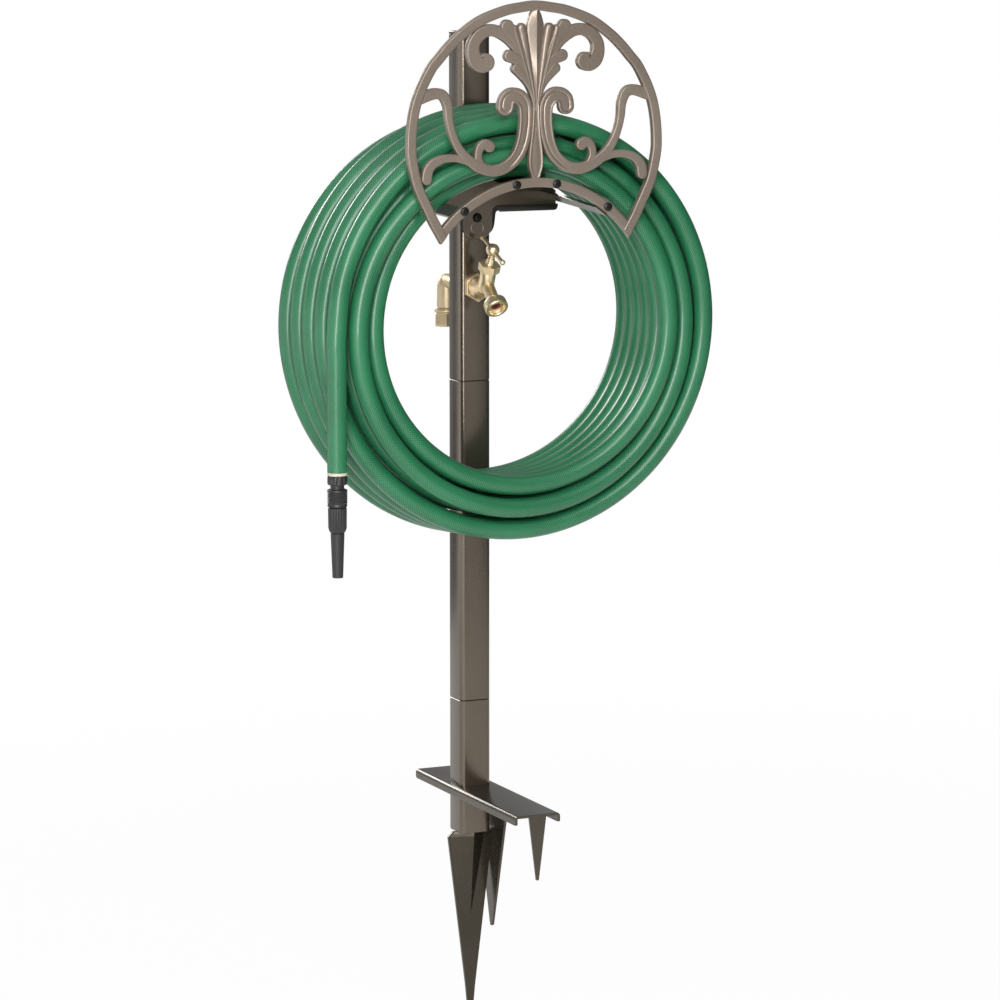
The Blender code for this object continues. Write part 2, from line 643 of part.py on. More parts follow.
def make_front_plate(cast):
    """The right half of the casting from bands and discs, cut at the middle and mirrored."""
    unit = DRAWING_UNIT
    drop = [(unit * x, unit * y) for x, y in DROP_HALF]
    palmette = [(unit * x, unit * y) for x, y in PALMETTE_HALF]
    tip_angle = degrees(asin(ARCH_END / ARCH_OUTER))
    arch = arc((0, 0), ARCH_OUTER, 93, tip_angle, 26) + arc((0, 0), ARCH_INNER, tip_angle, 93, 26)
    shapes = [
        ("ring", band(RING_EDGE, [RING_WIDTH / unit], 2, 1.0), 0.0),
        ("arch", arch, 0.4),
        ("drop", drop, 0.8),
        ("palmette", palmette, 1.2),
        ("scroll limb", band(SCROLL_LIMB, [13, 12, 11, 10, 8.5, 9, 9.5, 12, 13]), 1.6),
        ("volute", volute(), 1.4),
        ("small curl", band(SMALL_CURL, [8.5, 8, 8]), 1.9),
        ("curl head", disc((57, 188.6), 6.2), 1.7),
        ("lower limb", band(LOWER_LIMB, [8, 8.5, 10.5], 2, 0.0, True), 2.1),
        ("top scroll", band(TOP_SCROLL, [8, 10, 13, 12.5, 9.5, 7.5]), 1.5),
        ("top scroll head", disc((61.5, 280.5), 9.8, 15), 1.3),
        ("upper lobe", disc((34.5, 318.4), 8.0), 1.1),
        ("ball neck", band([(15, 281), (24, 284), (32, 286.4)], [9, 8]), 1.8),
        ("ball", disc((32.5, 286.4), 6.5), 1.0),
        ("lower lobe neck", band([(8, 250), (15, 262), (23, 273)], [7, 9]), 2.0),
        ("lower lobe", disc((23.5, 273.4), 5.2), 0.9),
    ]
    depth = (ORNAMENT_BACK - ORNAMENT_FRONT) / 2 - ORNAMENT_BACK
    solids = []
    for name, ring, lower in shapes:
        thickness = ORNAMENT_THICKNESS - lower * RELIEF_STEP
        solids.append(as_mesh(outline(name, ring, thickness), upright(up(ARCH_HEIGHT), depth)))
    plate = solids[0]
    plate.name = "front_plate"
    join(plate, *solids[1:])
    mirror = plate.modifiers.new("Mirror", "MIRROR")
    mirror.use_axis = (True, False, False)
    mirror.use_bisect_axis = (True, False, False)
    mirror.use_bisect_flip_axis = (False, False, False)
    mirror.use_mirror_merge = True
    mirror.merge_threshold = 0.00001
    holes = []
    for x in (INNER_SCREW_X, OUTER_SCREW_X):
        for side in (-1, 1):
            holes.append(screw_rod("screw hole", side * x, ORNAMENT_FRONT + OVERLAP,
                                   ORNAMENT_BACK - OVERLAP, SCREW_SHANK + GAP, 10))
    cut(plate, *holes)
    place(plate, cast)


def screw_height(x):
    return up(ARCH_HEIGHT) + sqrt(SCREW_RADIUS**2 - x**2)


def screw_rod(name, x, front, back, radius, sides=12):
    """A round bar along Y at one of the plate's screws; front and back are distances before the post."""
    height = screw_height(x)
    return rod(name, (x, -front, height), (x, -back, height), radius, sides=sides)


def make_plate_screws(black):
    """Button screws through the casting and the strap flanges, each with its nut."""
    flange_back = ORNAMENT_BACK - GAP - SADDLE_SHEET
    nut_front = flange_back - GAP
    nut_back = nut_front - NUT_HEIGHT
    places = (
        ("plate_screw_outer_left", -OUTER_SCREW_X), ("plate_screw_inner_left", -INNER_SCREW_X),
        ("plate_screw_inner_right", INNER_SCREW_X), ("plate_screw_outer_right", OUTER_SCREW_X),
    )
    head, rise, shank = SCREW_HEAD, SCREW_HEAD_HEIGHT, SCREW_SHANK
    length = ORNAMENT_FRONT - nut_back + 0.5 * NUT_HEIGHT
    for name, x in places:
        profile = [(0, rise), (0.5 * head, 0.92 * rise), (0.85 * head, 0.6 * rise), (head, GAP),
                   (shank, GAP), (shank, -length), (0, -length)]
        origin = (x, -ORNAMENT_FRONT, screw_height(x))
        place(smooth(as_mesh(turned(name, profile, origin, (0, -1, 0), 12))), black)
    for name, x in places:
        height = screw_height(x)
        start, end = (x, -nut_front, height), (x, -nut_back, height)
        nut = hex_prism(name.replace("screw", "nut"), start, end, NUT_FLATS)
        cut(nut, screw_rod("nut bore", x, nut_front + OVERLAP, nut_back - OVERLAP, shank + GAP, 12))
        place(nut, black)


def leaned(obj, front, direction):
    """Shifts each point along a direction by the saddle's slope times its depth behind the front."""
    for vertex in obj.data.vertices:
        vertex.co += Vector(direction) * (SADDLE_SLOPE * (vertex.co.y + front))
    return obj


def make_saddle(paint, black):
    """The arched back plate with its lip and lug, and three straps with front flanges for the screws."""
    centre = up(ARCH_HEIGHT)
    crease = up(BACK_PLATE_CREASE) - centre
    lug_centre = up(LUG_BOTTOM) + LUG_HALF_WIDTH - centre
    half, lug, fillet = BACK_PLATE_HALF_WIDTH, LUG_HALF_WIDTH, LUG_FILLET
    end_angle = degrees(asin(sqrt(BACK_PLATE_RADIUS**2 - half**2) / BACK_PLATE_RADIUS))
    ring = arc((0, 0), BACK_PLATE_RADIUS, end_angle, 180 - end_angle, 21)
    ring += [(-half, crease)]
    fillet_centre = crease - fillet - GAP
    ring += arc((-lug - fillet, fillet_centre), fillet, 90, 0, 5)
    ring += arc((0, lug_centre), lug, 180, 360, 13)
    ring += arc((lug + fillet, fillet_centre), fillet, 180, 90, 5)
    ring += [(half, crease)]
    front, back = BACK_PLATE_FRONT, BACK_PLATE_FRONT - SADDLE_SHEET
    plate = as_mesh(outline("saddle_back_plate", ring, SADDLE_SHEET), upright(centre, -(front + back) / 2))
    lips = []
    for side in (-1, 1):
        points = []
        for depth in (-front + GAP, -back - GAP):
            for x, drop, lean in (
                (lug + fillet + OVERLAP, -2 * OVERLAP, 0), (half - 3 * OVERLAP, -2 * OVERLAP, 0),
                (lug + fillet + 3 * OVERLAP, BACK_PLATE_LIP, BACK_PLATE_LEAN),
                (half, BACK_PLATE_LIP, BACK_PLATE_LEAN),
                (half + 0.003, BACK_PLATE_LIP * 0.5, BACK_PLATE_LEAN / 2),
            ):
                points.append((side * x, depth + lean, up(BACK_PLATE_CREASE) - drop))
        lips.append(hull("lip", points))
    join(plate, *lips)
    bolt_height = up(LUG_BOLT_HEIGHT)
    hole_start, hole_end = (0, -2 * front, bolt_height), (0, 0, bolt_height)
    cut(plate, rod("lug hole", hole_start, hole_end, LUG_BOLT_SHANK + GAP, sides=16))
    place(plate, paint)

    flange_front = ORNAMENT_BACK - GAP
    length = flange_front - BACK_PLATE_FRONT - GAP
    middle = -flange_front + length / 2
    reach = degrees(asin(CENTRE_STRAP_HALF_WIDTH / STRAP_TOP))
    section = arc((0, 0), STRAP_TOP, 90 - reach, 90 + reach, 9)
    section += arc((0, 0), STRAP_TOP - SADDLE_SHEET, 90 + reach, 90 - reach, 9)
    strap = as_mesh(outline("saddle_centre_strap", section, length), upright(centre, middle))
    leaned(strap, flange_front, (0, 0, 1))
    section = arc((0, 0), FLANGE_OUTER, 90 - reach, 90 + reach, 9)
    section += arc((0, 0), FLANGE_INNER, 90 + reach, 90 - reach, 9)
    flange_middle = SADDLE_SHEET / 2 - flange_front
    flange = as_mesh(outline("flange", section, SADDLE_SHEET), upright(centre, flange_middle))
    notches = []
    notch_top = centre + ARCH_OUTER
    for side in (-1, 1):
        near, far = sorted((side * CENTRE_STRAP_NECK, 2 * side * CENTRE_STRAP_HALF_WIDTH))
        low = (near, -flange_front - OVERLAP, centre + STRAP_TOP / 2)
        notches.append(block("notch", low, (far, NECK_LENGTH - flange_front, notch_top)))
        notches.append(screw_rod("flange hole", side * INNER_SCREW_X, ORNAMENT_FRONT,
                                 flange_front - 2 * SADDLE_SHEET, SCREW_SHANK + GAP))
    cut(strap, *notches[0::2])
    join(strap, flange)
    cut(strap, *notches[1::2])
    place(strap, paint)

    angle = atan2(sqrt(SCREW_RADIUS**2 - OUTER_SCREW_X**2), OUTER_SCREW_X)
    for name, side in (("saddle_left_strap", -1), ("saddle_right_strap", 1)):
        radial = Vector((side * cos(angle), 0, sin(angle)))
        turn = Matrix.Translation((0, 0, centre)) @ Matrix.Rotation(side * (pi / 2 - angle), 4, "Y")
        wide = SIDE_STRAP_WIDTH / 2
        under = SIDE_STRAP_TOP - SADDLE_SHEET
        strap = block(name, (-wide, PROUD - flange_front, under),
                      (wide, length - flange_front, SIDE_STRAP_TOP))
        strap.data.transform(turn)
        leaned(strap, flange_front, radial)
        flange = block("flange", (-wide - PROUD, -flange_front, under - PROUD),
                       (wide + PROUD, SADDLE_SHEET - flange_front, FLANGE_OUTER))
        flange.data.transform(turn)
        join(strap, flange)
        cut(strap, screw_rod("flange hole", side * OUTER_SCREW_X, ORNAMENT_FRONT,
                             flange_front - 2 * SADDLE_SHEET, SCREW_SHANK + GAP))
        place(strap, paint)

    head, rise, shank = LUG_BOLT_HEAD, LUG_BOLT_HEAD_HEIGHT, LUG_BOLT_SHANK
    nut_back = POST_HALF + GAP + LUG_NUT_HEIGHT
    length = nut_back + BACK_PLATE_FRONT + 0.3 * LUG_NUT_HEIGHT
    profile = [(0, rise), (0.55 * head, 0.9 * rise), (0.9 * head, 0.5 * rise), (head, GAP),
               (shank, GAP), (shank, -length), (0, -length)]
    bolt = turned("lug_bolt", profile, (0, -BACK_PLATE_FRONT, bolt_height), (0, -1, 0), 16)
    place(smooth(as_mesh(bolt)), black)
    nut_front = POST_HALF + GAP
    nut = hex_prism("lug_nut", (0, nut_front, bolt_height), (0, nut_back, bolt_height), LUG_NUT_FLATS)
    cut(nut, rod("bore", (0, 0, bolt_height), (0, 2 * nut_back, bolt_height), shank + GAP, sides=16))
    place(nut, black)


def carry(name, point, objects):
    """Parents moving pieces to an empty that stands on their joint's axis."""
    empty = bpy.data.objects.new(name, None)
    empty.location = point
    empty.empty_display_size = 0.01
    bpy.data.collections[PARTS].objects.link(empty)
    for obj in objects:
        obj.parent = empty
        obj.matrix_parent_inverse = Matrix.Translation(point).inverted()


def ball_profile(radius, top, low_radius, count=9):
    """Half outline of a ball cut off where its lower side has narrowed to a radius."""
    low = -sqrt(radius**2 - low_radius**2)
    start, end = asin(top / radius), asin(low / radius)
    turns = [start + (end - start) * i / (count - 1) for i in range(count)]
    return [(radius * cos(a), radius * sin(a)) for a in turns]


TILT = radians(STEM_TILT)
STEM_WAY = Vector((0, -sin(TILT), cos(TILT)))
BAR_WAY = Vector((0, -cos(TILT), -sin(TILT)))
HUB = Vector((0, -HUB_FORWARD, up(HUB_HEIGHT)))
MOUTH = Vector((0, -SPOUT_FORWARD, up(SPOUT_HEIGHT)))
BARREL_REAR = POST_HALF + 2 * GAP + LOCK_NUT_LENGTH
FAUCET_Z = up(FAUCET_HEIGHT)


def stem_at(below):
    """The point on the stem's axis so far below the middle of the hub."""
    return HUB - STEM_WAY * below


def make_faucet(brass, rubber):
    """Body with its valve seat and mouth, a bonnet, and the stem with its washer and tee handle."""
    seat = stem_at(SEAT_BELOW_HUB)
    bore_end = stem_at((HUB.z - FAUCET_Z) / cos(TILT))
    body = rod("faucet_body", stem_at(SEAT_BELOW_HUB + NECK_FOOT), stem_at(NECK_BELOW_HUB), NECK_RADIUS)
    barrel = rod("barrel", (0, -BARREL_REAR, FAUCET_Z), bore_end, BARREL_RADIUS)
    spout_way = (MOUTH - stem_at(SEAT_BELOW_HUB - GAP)).normalized()
    spout = rod("spout", stem_at(SEAT_BELOW_HUB - GAP), MOUTH - spout_way * OVERLAP, SPOUT_RADIUS)
    mouth = rod("mouth", MOUTH - spout_way * MOUTH_LENGTH, MOUTH, MOUTH_RADIUS)
    join(body, barrel, spout, mouth)
    below_seat = stem_at(SEAT_BELOW_HUB + 0.8 * NECK_FOOT)
    aim = stem_at(SPOUT_BORE_AIM)
    outlet_way = (aim - MOUTH).normalized()
    inner_end = bore_end + Vector((0, -OVERLAP, 0))
    cut(
        body,
        rod("chamber", seat, stem_at(NECK_BELOW_HUB - OVERLAP), CHAMBER_RADIUS),
        rod("seat bore", below_seat, stem_at(SEAT_BELOW_HUB - OVERLAP), SEAT_BORE, sides=16),
        rod("inlet bore", (0, -BARREL_REAR + OVERLAP, FAUCET_Z), inner_end, NIPPLE_BORE * 0.8, sides=16),
        rod("socket", (0, -BARREL_REAR + OVERLAP, FAUCET_Z), (0, -BARREL_REAR - BARREL_SOCKET, FAUCET_Z),
            NIPPLE_RADIUS + GAP),
        rod("outlet bore", MOUTH - outlet_way * OVERLAP, aim, SPOUT_BORE, sides=16),
        rod("mouth recess", MOUTH - spout_way * MOUTH_DEPTH, MOUTH + spout_way * OVERLAP, MOUTH_BORE),
        rod("washer pocket", MOUTH - spout_way * (MOUTH_DEPTH + OUTLET_WASHER_THICKNESS),
            MOUTH - spout_way * (MOUTH_DEPTH - OVERLAP), OUTLET_WASHER_RADIUS + GAP, sides=20),
    )
    place(smooth(body), brass)

    outer, inner, thick = OUTLET_WASHER_RADIUS, OUTLET_WASHER_HOLE, OUTLET_WASHER_THICKNESS
    washer_back = MOUTH - spout_way * (MOUTH_DEPTH + thick - GAP)
    ring = [(outer, thick), (outer, 0), (inner, 0), (inner, thick)]
    place(smooth(as_mesh(turned("outlet_washer", ring, washer_back, spout_way, 20))), rubber)

    y_front, y_back = -POST_HALF - GAP - LOCK_NUT_LENGTH, -POST_HALF - GAP
    nut = hex_prism("faucet_lock_nut", (0, y_back, FAUCET_Z), (0, y_front, FAUCET_Z), LOCK_NUT_FLATS)
    cut(nut, rod("lock nut bore", (0, 0, FAUCET_Z), (0, 2 * y_front, FAUCET_Z), NIPPLE_RADIUS + GAP))
    place(nut, brass)

    washer_low = GAP - SEAT_BELOW_HUB
    washer_top = washer_low + WASHER_THICKNESS
    foot_low = washer_top + GAP
    foot_top = foot_low + STEM_FOOT_THICKNESS
    spigot_low = foot_top + VALVE_TURNS * VALVE_PITCH + GAP

    low = NECK_BELOW_HUB - GAP
    bonnet = hex_prism("bonnet_nut", stem_at(low), stem_at(low - BONNET_HEIGHT), BONNET_FLATS)
    join(
        bonnet,
        rod("bonnet neck", stem_at(low - BONNET_HEIGHT + OVERLAP), stem_at(low - BONNET_HEIGHT - BONNET_NECK),
            BONNET_NECK_RADIUS, BONNET_TOP_RADIUS),
        rod("bonnet spigot", stem_at(-spigot_low), stem_at(low - OVERLAP), CHAMBER_RADIUS - GAP),
    )
    cut(bonnet, rod("stem bore", stem_at(SEAT_BELOW_HUB), stem_at(0), STEM_RADIUS + RUNNING_GAP))
    place(bonnet, brass)

    stem_top = -BAR_RADIUS - 3 * GAP
    hole = WASHER_SCREW_SHANK + GAP
    hole_top = foot_low + WASHER_SCREW_DEPTH
    thin, foot = STEM_RADIUS, STEM_FOOT_RADIUS
    profile = [(0, stem_top), (thin, stem_top), (thin, foot_top), (foot, foot_top), (foot, foot_low),
               (hole, foot_low), (hole, hole_top), (0, hole_top)]
    stem = place(smooth(as_mesh(turned("stem", profile, HUB, STEM_WAY, 16))), brass)
    ring = [(foot, washer_top), (foot, washer_low), (hole, washer_low), (hole, washer_top)]
    washer = place(smooth(as_mesh(turned("seat_washer", ring, HUB, STEM_WAY, 16))), rubber)
    shank, head = WASHER_SCREW_SHANK, WASHER_SCREW_HEAD
    screw_top, head_top = hole_top - GAP, washer_low - GAP
    profile = [(0, screw_top), (shank, screw_top), (shank, head_top), (head, head_top),
               (0.7 * head, head_top - shank), (0, head_top - shank)]
    screw = place(smooth(as_mesh(turned("washer_screw", profile, HUB, STEM_WAY, 12))), brass)

    hub_top = sqrt(HUB_RADIUS**2 - HUB_FLAT_RADIUS**2)
    profile = [(0, hub_top)] + ball_profile(HUB_RADIUS, hub_top, HUB_NECK_RADIUS)
    socket = STEM_RADIUS + GAP
    socket_top = stem_top + GAP
    profile += [(HUB_NECK_RADIUS, -HUB_NECK_END), (socket, -HUB_NECK_END)]
    profile += [(socket, socket_top), (0, socket_top)]
    hub = as_mesh(turned("handle_hub", profile, HUB, STEM_WAY, 20))
    reach = BAR_WAY * (2 * HUB_RADIUS)
    cut(hub, rod("bar hole", HUB - reach, HUB + reach, BAR_RADIUS + GAP / 2, sides=12))
    place(smooth(hub), brass)
    ball_offset = BAR_LENGTH / 2 - BAR_BALL_RADIUS
    half_bar = ball_offset + 0.4 * BAR_BALL_RADIUS
    bar_end = BAR_WAY * half_bar
    bar = place(rod("handle_bar", HUB - bar_end, HUB + bar_end, BAR_RADIUS, sides=12), brass)
    balls = []
    for name, side in (("handle_ball_front", 1), ("handle_ball_back", -1)):
        way = BAR_WAY * side
        hole, depth = BAR_RADIUS + GAP, half_bar - ball_offset + GAP
        profile = [(0, BAR_BALL_RADIUS)] + ball_profile(BAR_BALL_RADIUS, 0.92 * BAR_BALL_RADIUS, hole)
        profile += [(hole, depth), (0, depth)]
        ball = as_mesh(turned(name, profile, HUB + way * ball_offset, way, 14))
        balls.append(place(smooth(ball), brass))
    carry("stem axis", HUB, [stem, hub, bar, *balls])
    carry("washer axis", seat, [washer, screw])


def round_nut(name, top, way):
    """A round hose nut with a chamfered rim, whose way points from its mouth to its shoulder."""
    outer, bore, length = COUPLING_RADIUS, COUPLING_BORE, COUPLING_LENGTH
    chamfer = COUPLING_SHOULDER / 2
    hole = TAIL_RADIUS + RUNNING_GAP
    profile = [(outer - chamfer, 0), (outer, -chamfer), (outer, chamfer - length)]
    profile += [(outer - chamfer / 2, -length), (bore, -length)]
    profile += [(bore, -COUPLING_SHOULDER), (hole, -COUPLING_SHOULDER), (hole, 0)]
    return smooth(as_mesh(turned(name, profile, top, way)))


def hexagonal_nut(name, top, way):
    """A hexagonal hose nut, bored from its mouth up to the shoulder that holds the tail."""
    low = top - way * COUPLING_LENGTH
    turn = radians(COUPLING_TURN)
    nut = hex_prism(name, low, top, COUPLING_FLATS, turn)
    return cut(
        nut,
        rod("thread bore", low - way * OVERLAP, top - way * COUPLING_SHOULDER, COUPLING_BORE),
        rod("tail hole", low, top + way * OVERLAP, TAIL_RADIUS + RUNNING_GAP),
    )


def make_swivel(nut_shape, name, washer_name, top, way, brass, rubber):
    """A hose nut that turns on a lipped tail, with the washer that it holds against the lip."""
    nut = place(nut_shape(name, top, way), brass)
    outer, inner = COUPLING_BORE - GAP, ELBOW_BORE
    high = -COUPLING_SHOULDER - TAIL_LIP_THICKNESS - 2 * GAP
    low = high - INLET_WASHER_THICKNESS
    ring = [(outer, high), (outer, low), (inner, low), (inner, high)]
    washer = place(smooth(as_mesh(turned(washer_name, ring, top, way))), rubber)
    carry(name + " axis", top, [nut, washer])


def make_inlet(brass, rubber):
    """A nipple through the post, an elbow behind it and a swivel coupling that opens downwards."""
    start, end = -BARREL_REAR - BARREL_SOCKET + GAP, ELBOW_START + ELBOW_SOCKET - GAP
    nipple = rod("inlet_nipple", (0, start, FAUCET_Z), (0, end, FAUCET_Z), NIPPLE_RADIUS)
    cut(nipple, rod("nipple bore", (0, 2 * start, FAUCET_Z), (0, 2 * end, FAUCET_Z), NIPPLE_BORE, sides=16))
    place(nipple, brass)
    near, far = POST_HALF + GAP, POST_HALF + GAP + BACK_NUT_LENGTH
    nut = hex_prism("inlet_back_nut", (0, near, FAUCET_Z), (0, far, FAUCET_Z), BACK_NUT_FLATS)
    cut(nut, rod("back nut bore", (0, 0, FAUCET_Z), (0, 2 * far, FAUCET_Z), NIPPLE_RADIUS + GAP))
    place(nut, brass)

    foot = up(ELBOW_FOOT)
    lip_top = up(COUPLING_TOP) - COUPLING_SHOULDER - GAP
    lip_low = lip_top - TAIL_LIP_THICKNESS
    bend_centre = (ELBOW_BACK - ELBOW_BEND, FAUCET_Z - ELBOW_BEND)
    bend = [(0, y, z) for y, z in arc(bend_centre, ELBOW_BEND, 90, 0, 8)]
    route = [(0, ELBOW_START, FAUCET_Z), *bend, (0, ELBOW_BACK, foot)]
    elbow = as_mesh(tube("inlet_elbow", route, ELBOW_RADIUS, 5))
    join(
        elbow,
        rod("tail", (0, ELBOW_BACK, foot + OVERLAP), (0, ELBOW_BACK, lip_low + OVERLAP / 2), TAIL_RADIUS),
        rod("lip", (0, ELBOW_BACK, lip_top), (0, ELBOW_BACK, lip_low), TAIL_LIP),
    )
    bore_start = (0, ELBOW_START + ELBOW_SOCKET / 2, FAUCET_Z)
    bore = [bore_start, *bend, (0, ELBOW_BACK, lip_low - OVERLAP)]
    socket_end = (0, ELBOW_START + ELBOW_SOCKET, FAUCET_Z)
    cut(
        elbow,
        rod("elbow socket", (0, ELBOW_START - OVERLAP, FAUCET_Z), socket_end, NIPPLE_RADIUS + GAP),
        as_mesh(tube("elbow bore", bore, ELBOW_BORE, 3)),
    )
    place(smooth(elbow), brass)

    top = Vector((0, ELBOW_BACK, up(COUPLING_TOP)))
    make_swivel(hexagonal_nut, "inlet_coupling", "inlet_washer", top, Vector((0, 0, 1)), brass, rubber)


COIL_X = COIL_OFFSET
STRAP_TOP_AT_COIL = up(ARCH_HEIGHT) + STRAP_TOP + SADDLE_SLOPE * (ORNAMENT_BACK - COIL_FRONT)
COIL_Z = STRAP_TOP_AT_COIL + COIL_SEAT + HOSE_RADIUS - COIL_TOP_RADIUS
HANG_X = COIL_X - COIL_TOP_RADIUS - 2 * LAYER_RISE


def coil_layer(start_angle, turns, depths, layers):
    """Points of one stretch of the coil: depths and layers run evenly, or eased where the layer changes."""
    count = round(turns * POINTS_A_TURN)
    points = []
    for i in range(count):
        share = i / count
        depth = np.interp(share, depths[0], depths[1])
        ease = (1 - cos(pi * share)) / 2
        layer = layers[0] + (layers[1] - layers[0]) * ease
        radius = COIL_TOP_RADIUS + layer * LAYER_RISE + SADDLE_SLOPE * (depth + COIL_FRONT)
        angle = radians(start_angle + 360 * turns * share)
        points.append(Vector((COIL_X + radius * cos(angle), depth, COIL_Z + radius * sin(angle))))
    return points


def coil_route():
    """Three wound layers, from the hidden tail to the free end that starts to hang on the left."""
    turns_at = (0, LEAD_TURN / INNER_TURNS, 1 - CLIMB_TURN / INNER_TURNS, 1)
    inner_depths = (-COIL_TAIL_BACK, -LEAD_BACK, CLIMB_ROOM - COIL_FRONT, -COIL_FRONT)
    stretches = (
        (INNER_TURNS, (turns_at, inner_depths), (0, 0)),
        (0.5, ((0, 1), (-COIL_FRONT, -COIL_FRONT)), (0, 1)),
        (MIDDLE_TURNS, ((0, 1), (-COIL_FRONT, -COIL_BACK)), (1, 1)),
        (0.5, ((0, 1), (-COIL_BACK, -COIL_BACK)), (1, 2)),
        (OUTER_TURNS, ((0, 1), (-COIL_BACK, -COIL_FRONT)), (2, 2)),
    )
    points = []
    angle = START_ANGLE
    for turns, depths, layers in stretches:
        points += coil_layer(angle, turns, depths, layers)
        angle += 360 * turns
    end = Vector((HANG_X, -COIL_FRONT, COIL_Z))
    straight = 2 * HOSE_RADIUS
    start_way = tail_way()
    return [points[0] + start_way * straight, *points, end, end - Vector((0, 0, straight))]


def tail_way():
    """Direction from the coil's first point towards the hose's hidden end."""
    angle = radians(START_ANGLE)
    return Vector((sin(angle), 0, -cos(angle)))


def least_gap(points):
    """Least clear distance between points of the coil that lie more than a third of a turn apart."""
    places = np.array(points)
    apart = np.linalg.norm(places[:, None] - places[None, :], axis=2)
    index = np.arange(len(points))
    near = np.abs(index[:, None] - index[None, :]) < POINTS_A_TURN // 3
    apart[near] = 1.0
    return apart.min() - 2 * HOSE_RADIUS


def make_hose(green, cream, brass, rubber):
    """The coil, its hanging end with a cut ring, and the hidden tail with its ferrule and nut."""
    route = coil_route()
    print(f"least gap between the coil's loops: {1000 * least_gap(route):.2f} mm")
    place(tube("hose_coil", route, HOSE_RADIUS, 1), green)

    hang_top = route[-1].z - GAP
    hang_low = up(HANG_END)
    drop = hang_top - hang_low
    line = smooth_line([(0, 0), (0, -drop / 3), (-HANG_BOW, -2 * drop / 3), (0, -drop)], 1)
    hang = [(HANG_X + x, -COIL_FRONT, hang_top + z) for x, z in line]
    place(tube("hose_end", hang, HOSE_RADIUS, 2), green)

    origin = (HANG_X, -COIL_FRONT, hang_low - GAP)
    low = -END_RING_LENGTH
    ring = [(0, 0), (HOSE_RADIUS, 0), (HOSE_RADIUS, low), (0, low)]
    place(smooth(as_mesh(turned("hose_end_ring", ring, origin))), cream)

    way = tail_way()
    start = route[0] + way * GAP
    nut_top = start + way * (TAIL_COUPLING_LENGTH - COUPLING_LENGTH)
    lip_near = nut_top + way * (COUPLING_SHOULDER + GAP)
    lip_far = lip_near + way * TAIL_LIP_THICKNESS
    ferrule = rod("hose_tail_ferrule", start, nut_top - way * OVERLAP, TAIL_FERRULE_RADIUS)
    join(
        ferrule,
        rod("ferrule tail", start + way * OVERLAP, lip_far - way * OVERLAP / 2, TAIL_RADIUS),
        rod("ferrule lip", lip_near, lip_far, TAIL_LIP),
    )
    bore_start = start + way * 4 * OVERLAP
    cut(ferrule, rod("ferrule bore", bore_start, lip_far + way * OVERLAP, ELBOW_BORE, sides=16))
    place(smooth(ferrule), brass)
    make_swivel(round_nut, "hose_tail_nut", "hose_tail_washer", nut_top, -way, brass, rubber)


def make_nozzle(dark):
    """Collar with a spindle, a control ring that turns on it, and a ribbed body with a tapered tip."""
    top = up(HANG_END) - 2 * GAP - END_RING_LENGTH
    axis = (HANG_X, -COIL_FRONT, top)
    collar_low = -COLLAR_LENGTH
    ring_top = collar_low - GROOVE_LENGTH
    ring_low = ring_top - CONTROL_RING_LENGTH
    spindle_low = ring_low - GROOVE_LENGTH
    profile = [(0, 0), (COLLAR_RADIUS, 0), (COLLAR_RADIUS, collar_low), (GROOVE_RADIUS, collar_low),
               (GROOVE_RADIUS, spindle_low), (0, spindle_low)]
    place(smooth(as_mesh(turned("nozzle_collar", profile, axis))), dark)
    outer, bore = CONTROL_RING_RADIUS, GROOVE_RADIUS + RUNNING_GAP
    profile = [(outer, ring_top), (outer, ring_low + GAP), (bore, ring_low + GAP), (bore, ring_top)]
    ring = place(smooth(as_mesh(turned("nozzle_ring", profile, axis))), dark)
    carry("nozzle axis", axis, [ring])

    body_low = ring_low - BODY_LENGTH
    socket, hole = GROOVE_RADIUS + GAP, NOZZLE_BORE + 2 * OVERLAP
    socket_low = spindle_low - GAP
    profile = [(BODY_RADIUS, ring_low), (BODY_RADIUS, body_low), (hole, body_low), (hole, socket_low),
               (socket, socket_low), (socket, ring_low)]
    place(smooth(as_mesh(turned("nozzle_body", profile, axis))), dark)
    tip_top = body_low - GAP
    tip_low = body_low - NOZZLE_TIP_LENGTH
    spigot, spigot_top = hole - GAP, tip_top + 0.6 * BODY_LENGTH
    bore_top = tip_top - OVERLAP
    profile = [(0, spigot_top), (spigot, spigot_top), (spigot, tip_top), (NOZZLE_TIP_RADIUS, tip_top),
               (NOZZLE_END_RADIUS, tip_low), (NOZZLE_BORE, tip_low), (NOZZLE_BORE, bore_top), (0, bore_top)]
    place(smooth(as_mesh(turned("nozzle_tip", profile, axis))), dark)


def main():
    start_scene()
    steel = material("Brushed steel", (0.42, 0.40, 0.37), 0.38, 0.9)
    bronze = material("Bronze paint", (0.17, 0.13, 0.10), 0.38, 0.6)
    black = material("Black screws", (0.02, 0.02, 0.02), 0.35, 0.5)
    brass = material("Pale brass", (0.66, 0.50, 0.31), 0.30, 1.0)
    rubber = material("Washer rubber", (0.10, 0.02, 0.02), 0.70, 0.0)
    green = material("Green hose", (0.06, 0.25, 0.12), 0.30, 0.0)
    cream = material("Cream ring", (0.75, 0.68, 0.50), 0.45, 0.0)
    dark = material("Dark nozzle plastic", (0.03, 0.03, 0.03), 0.40, 0.0)
    make_step_plate(steel)
    make_main_spike(steel)
    make_post(bronze)
    make_front_plate(bronze)
    make_plate_screws(black)
    make_saddle(bronze, black)
    make_faucet(brass, rubber)
    make_inlet(brass, rubber)
    make_hose(green, cream, brass, rubber)
    make_nozzle(dark)


main()
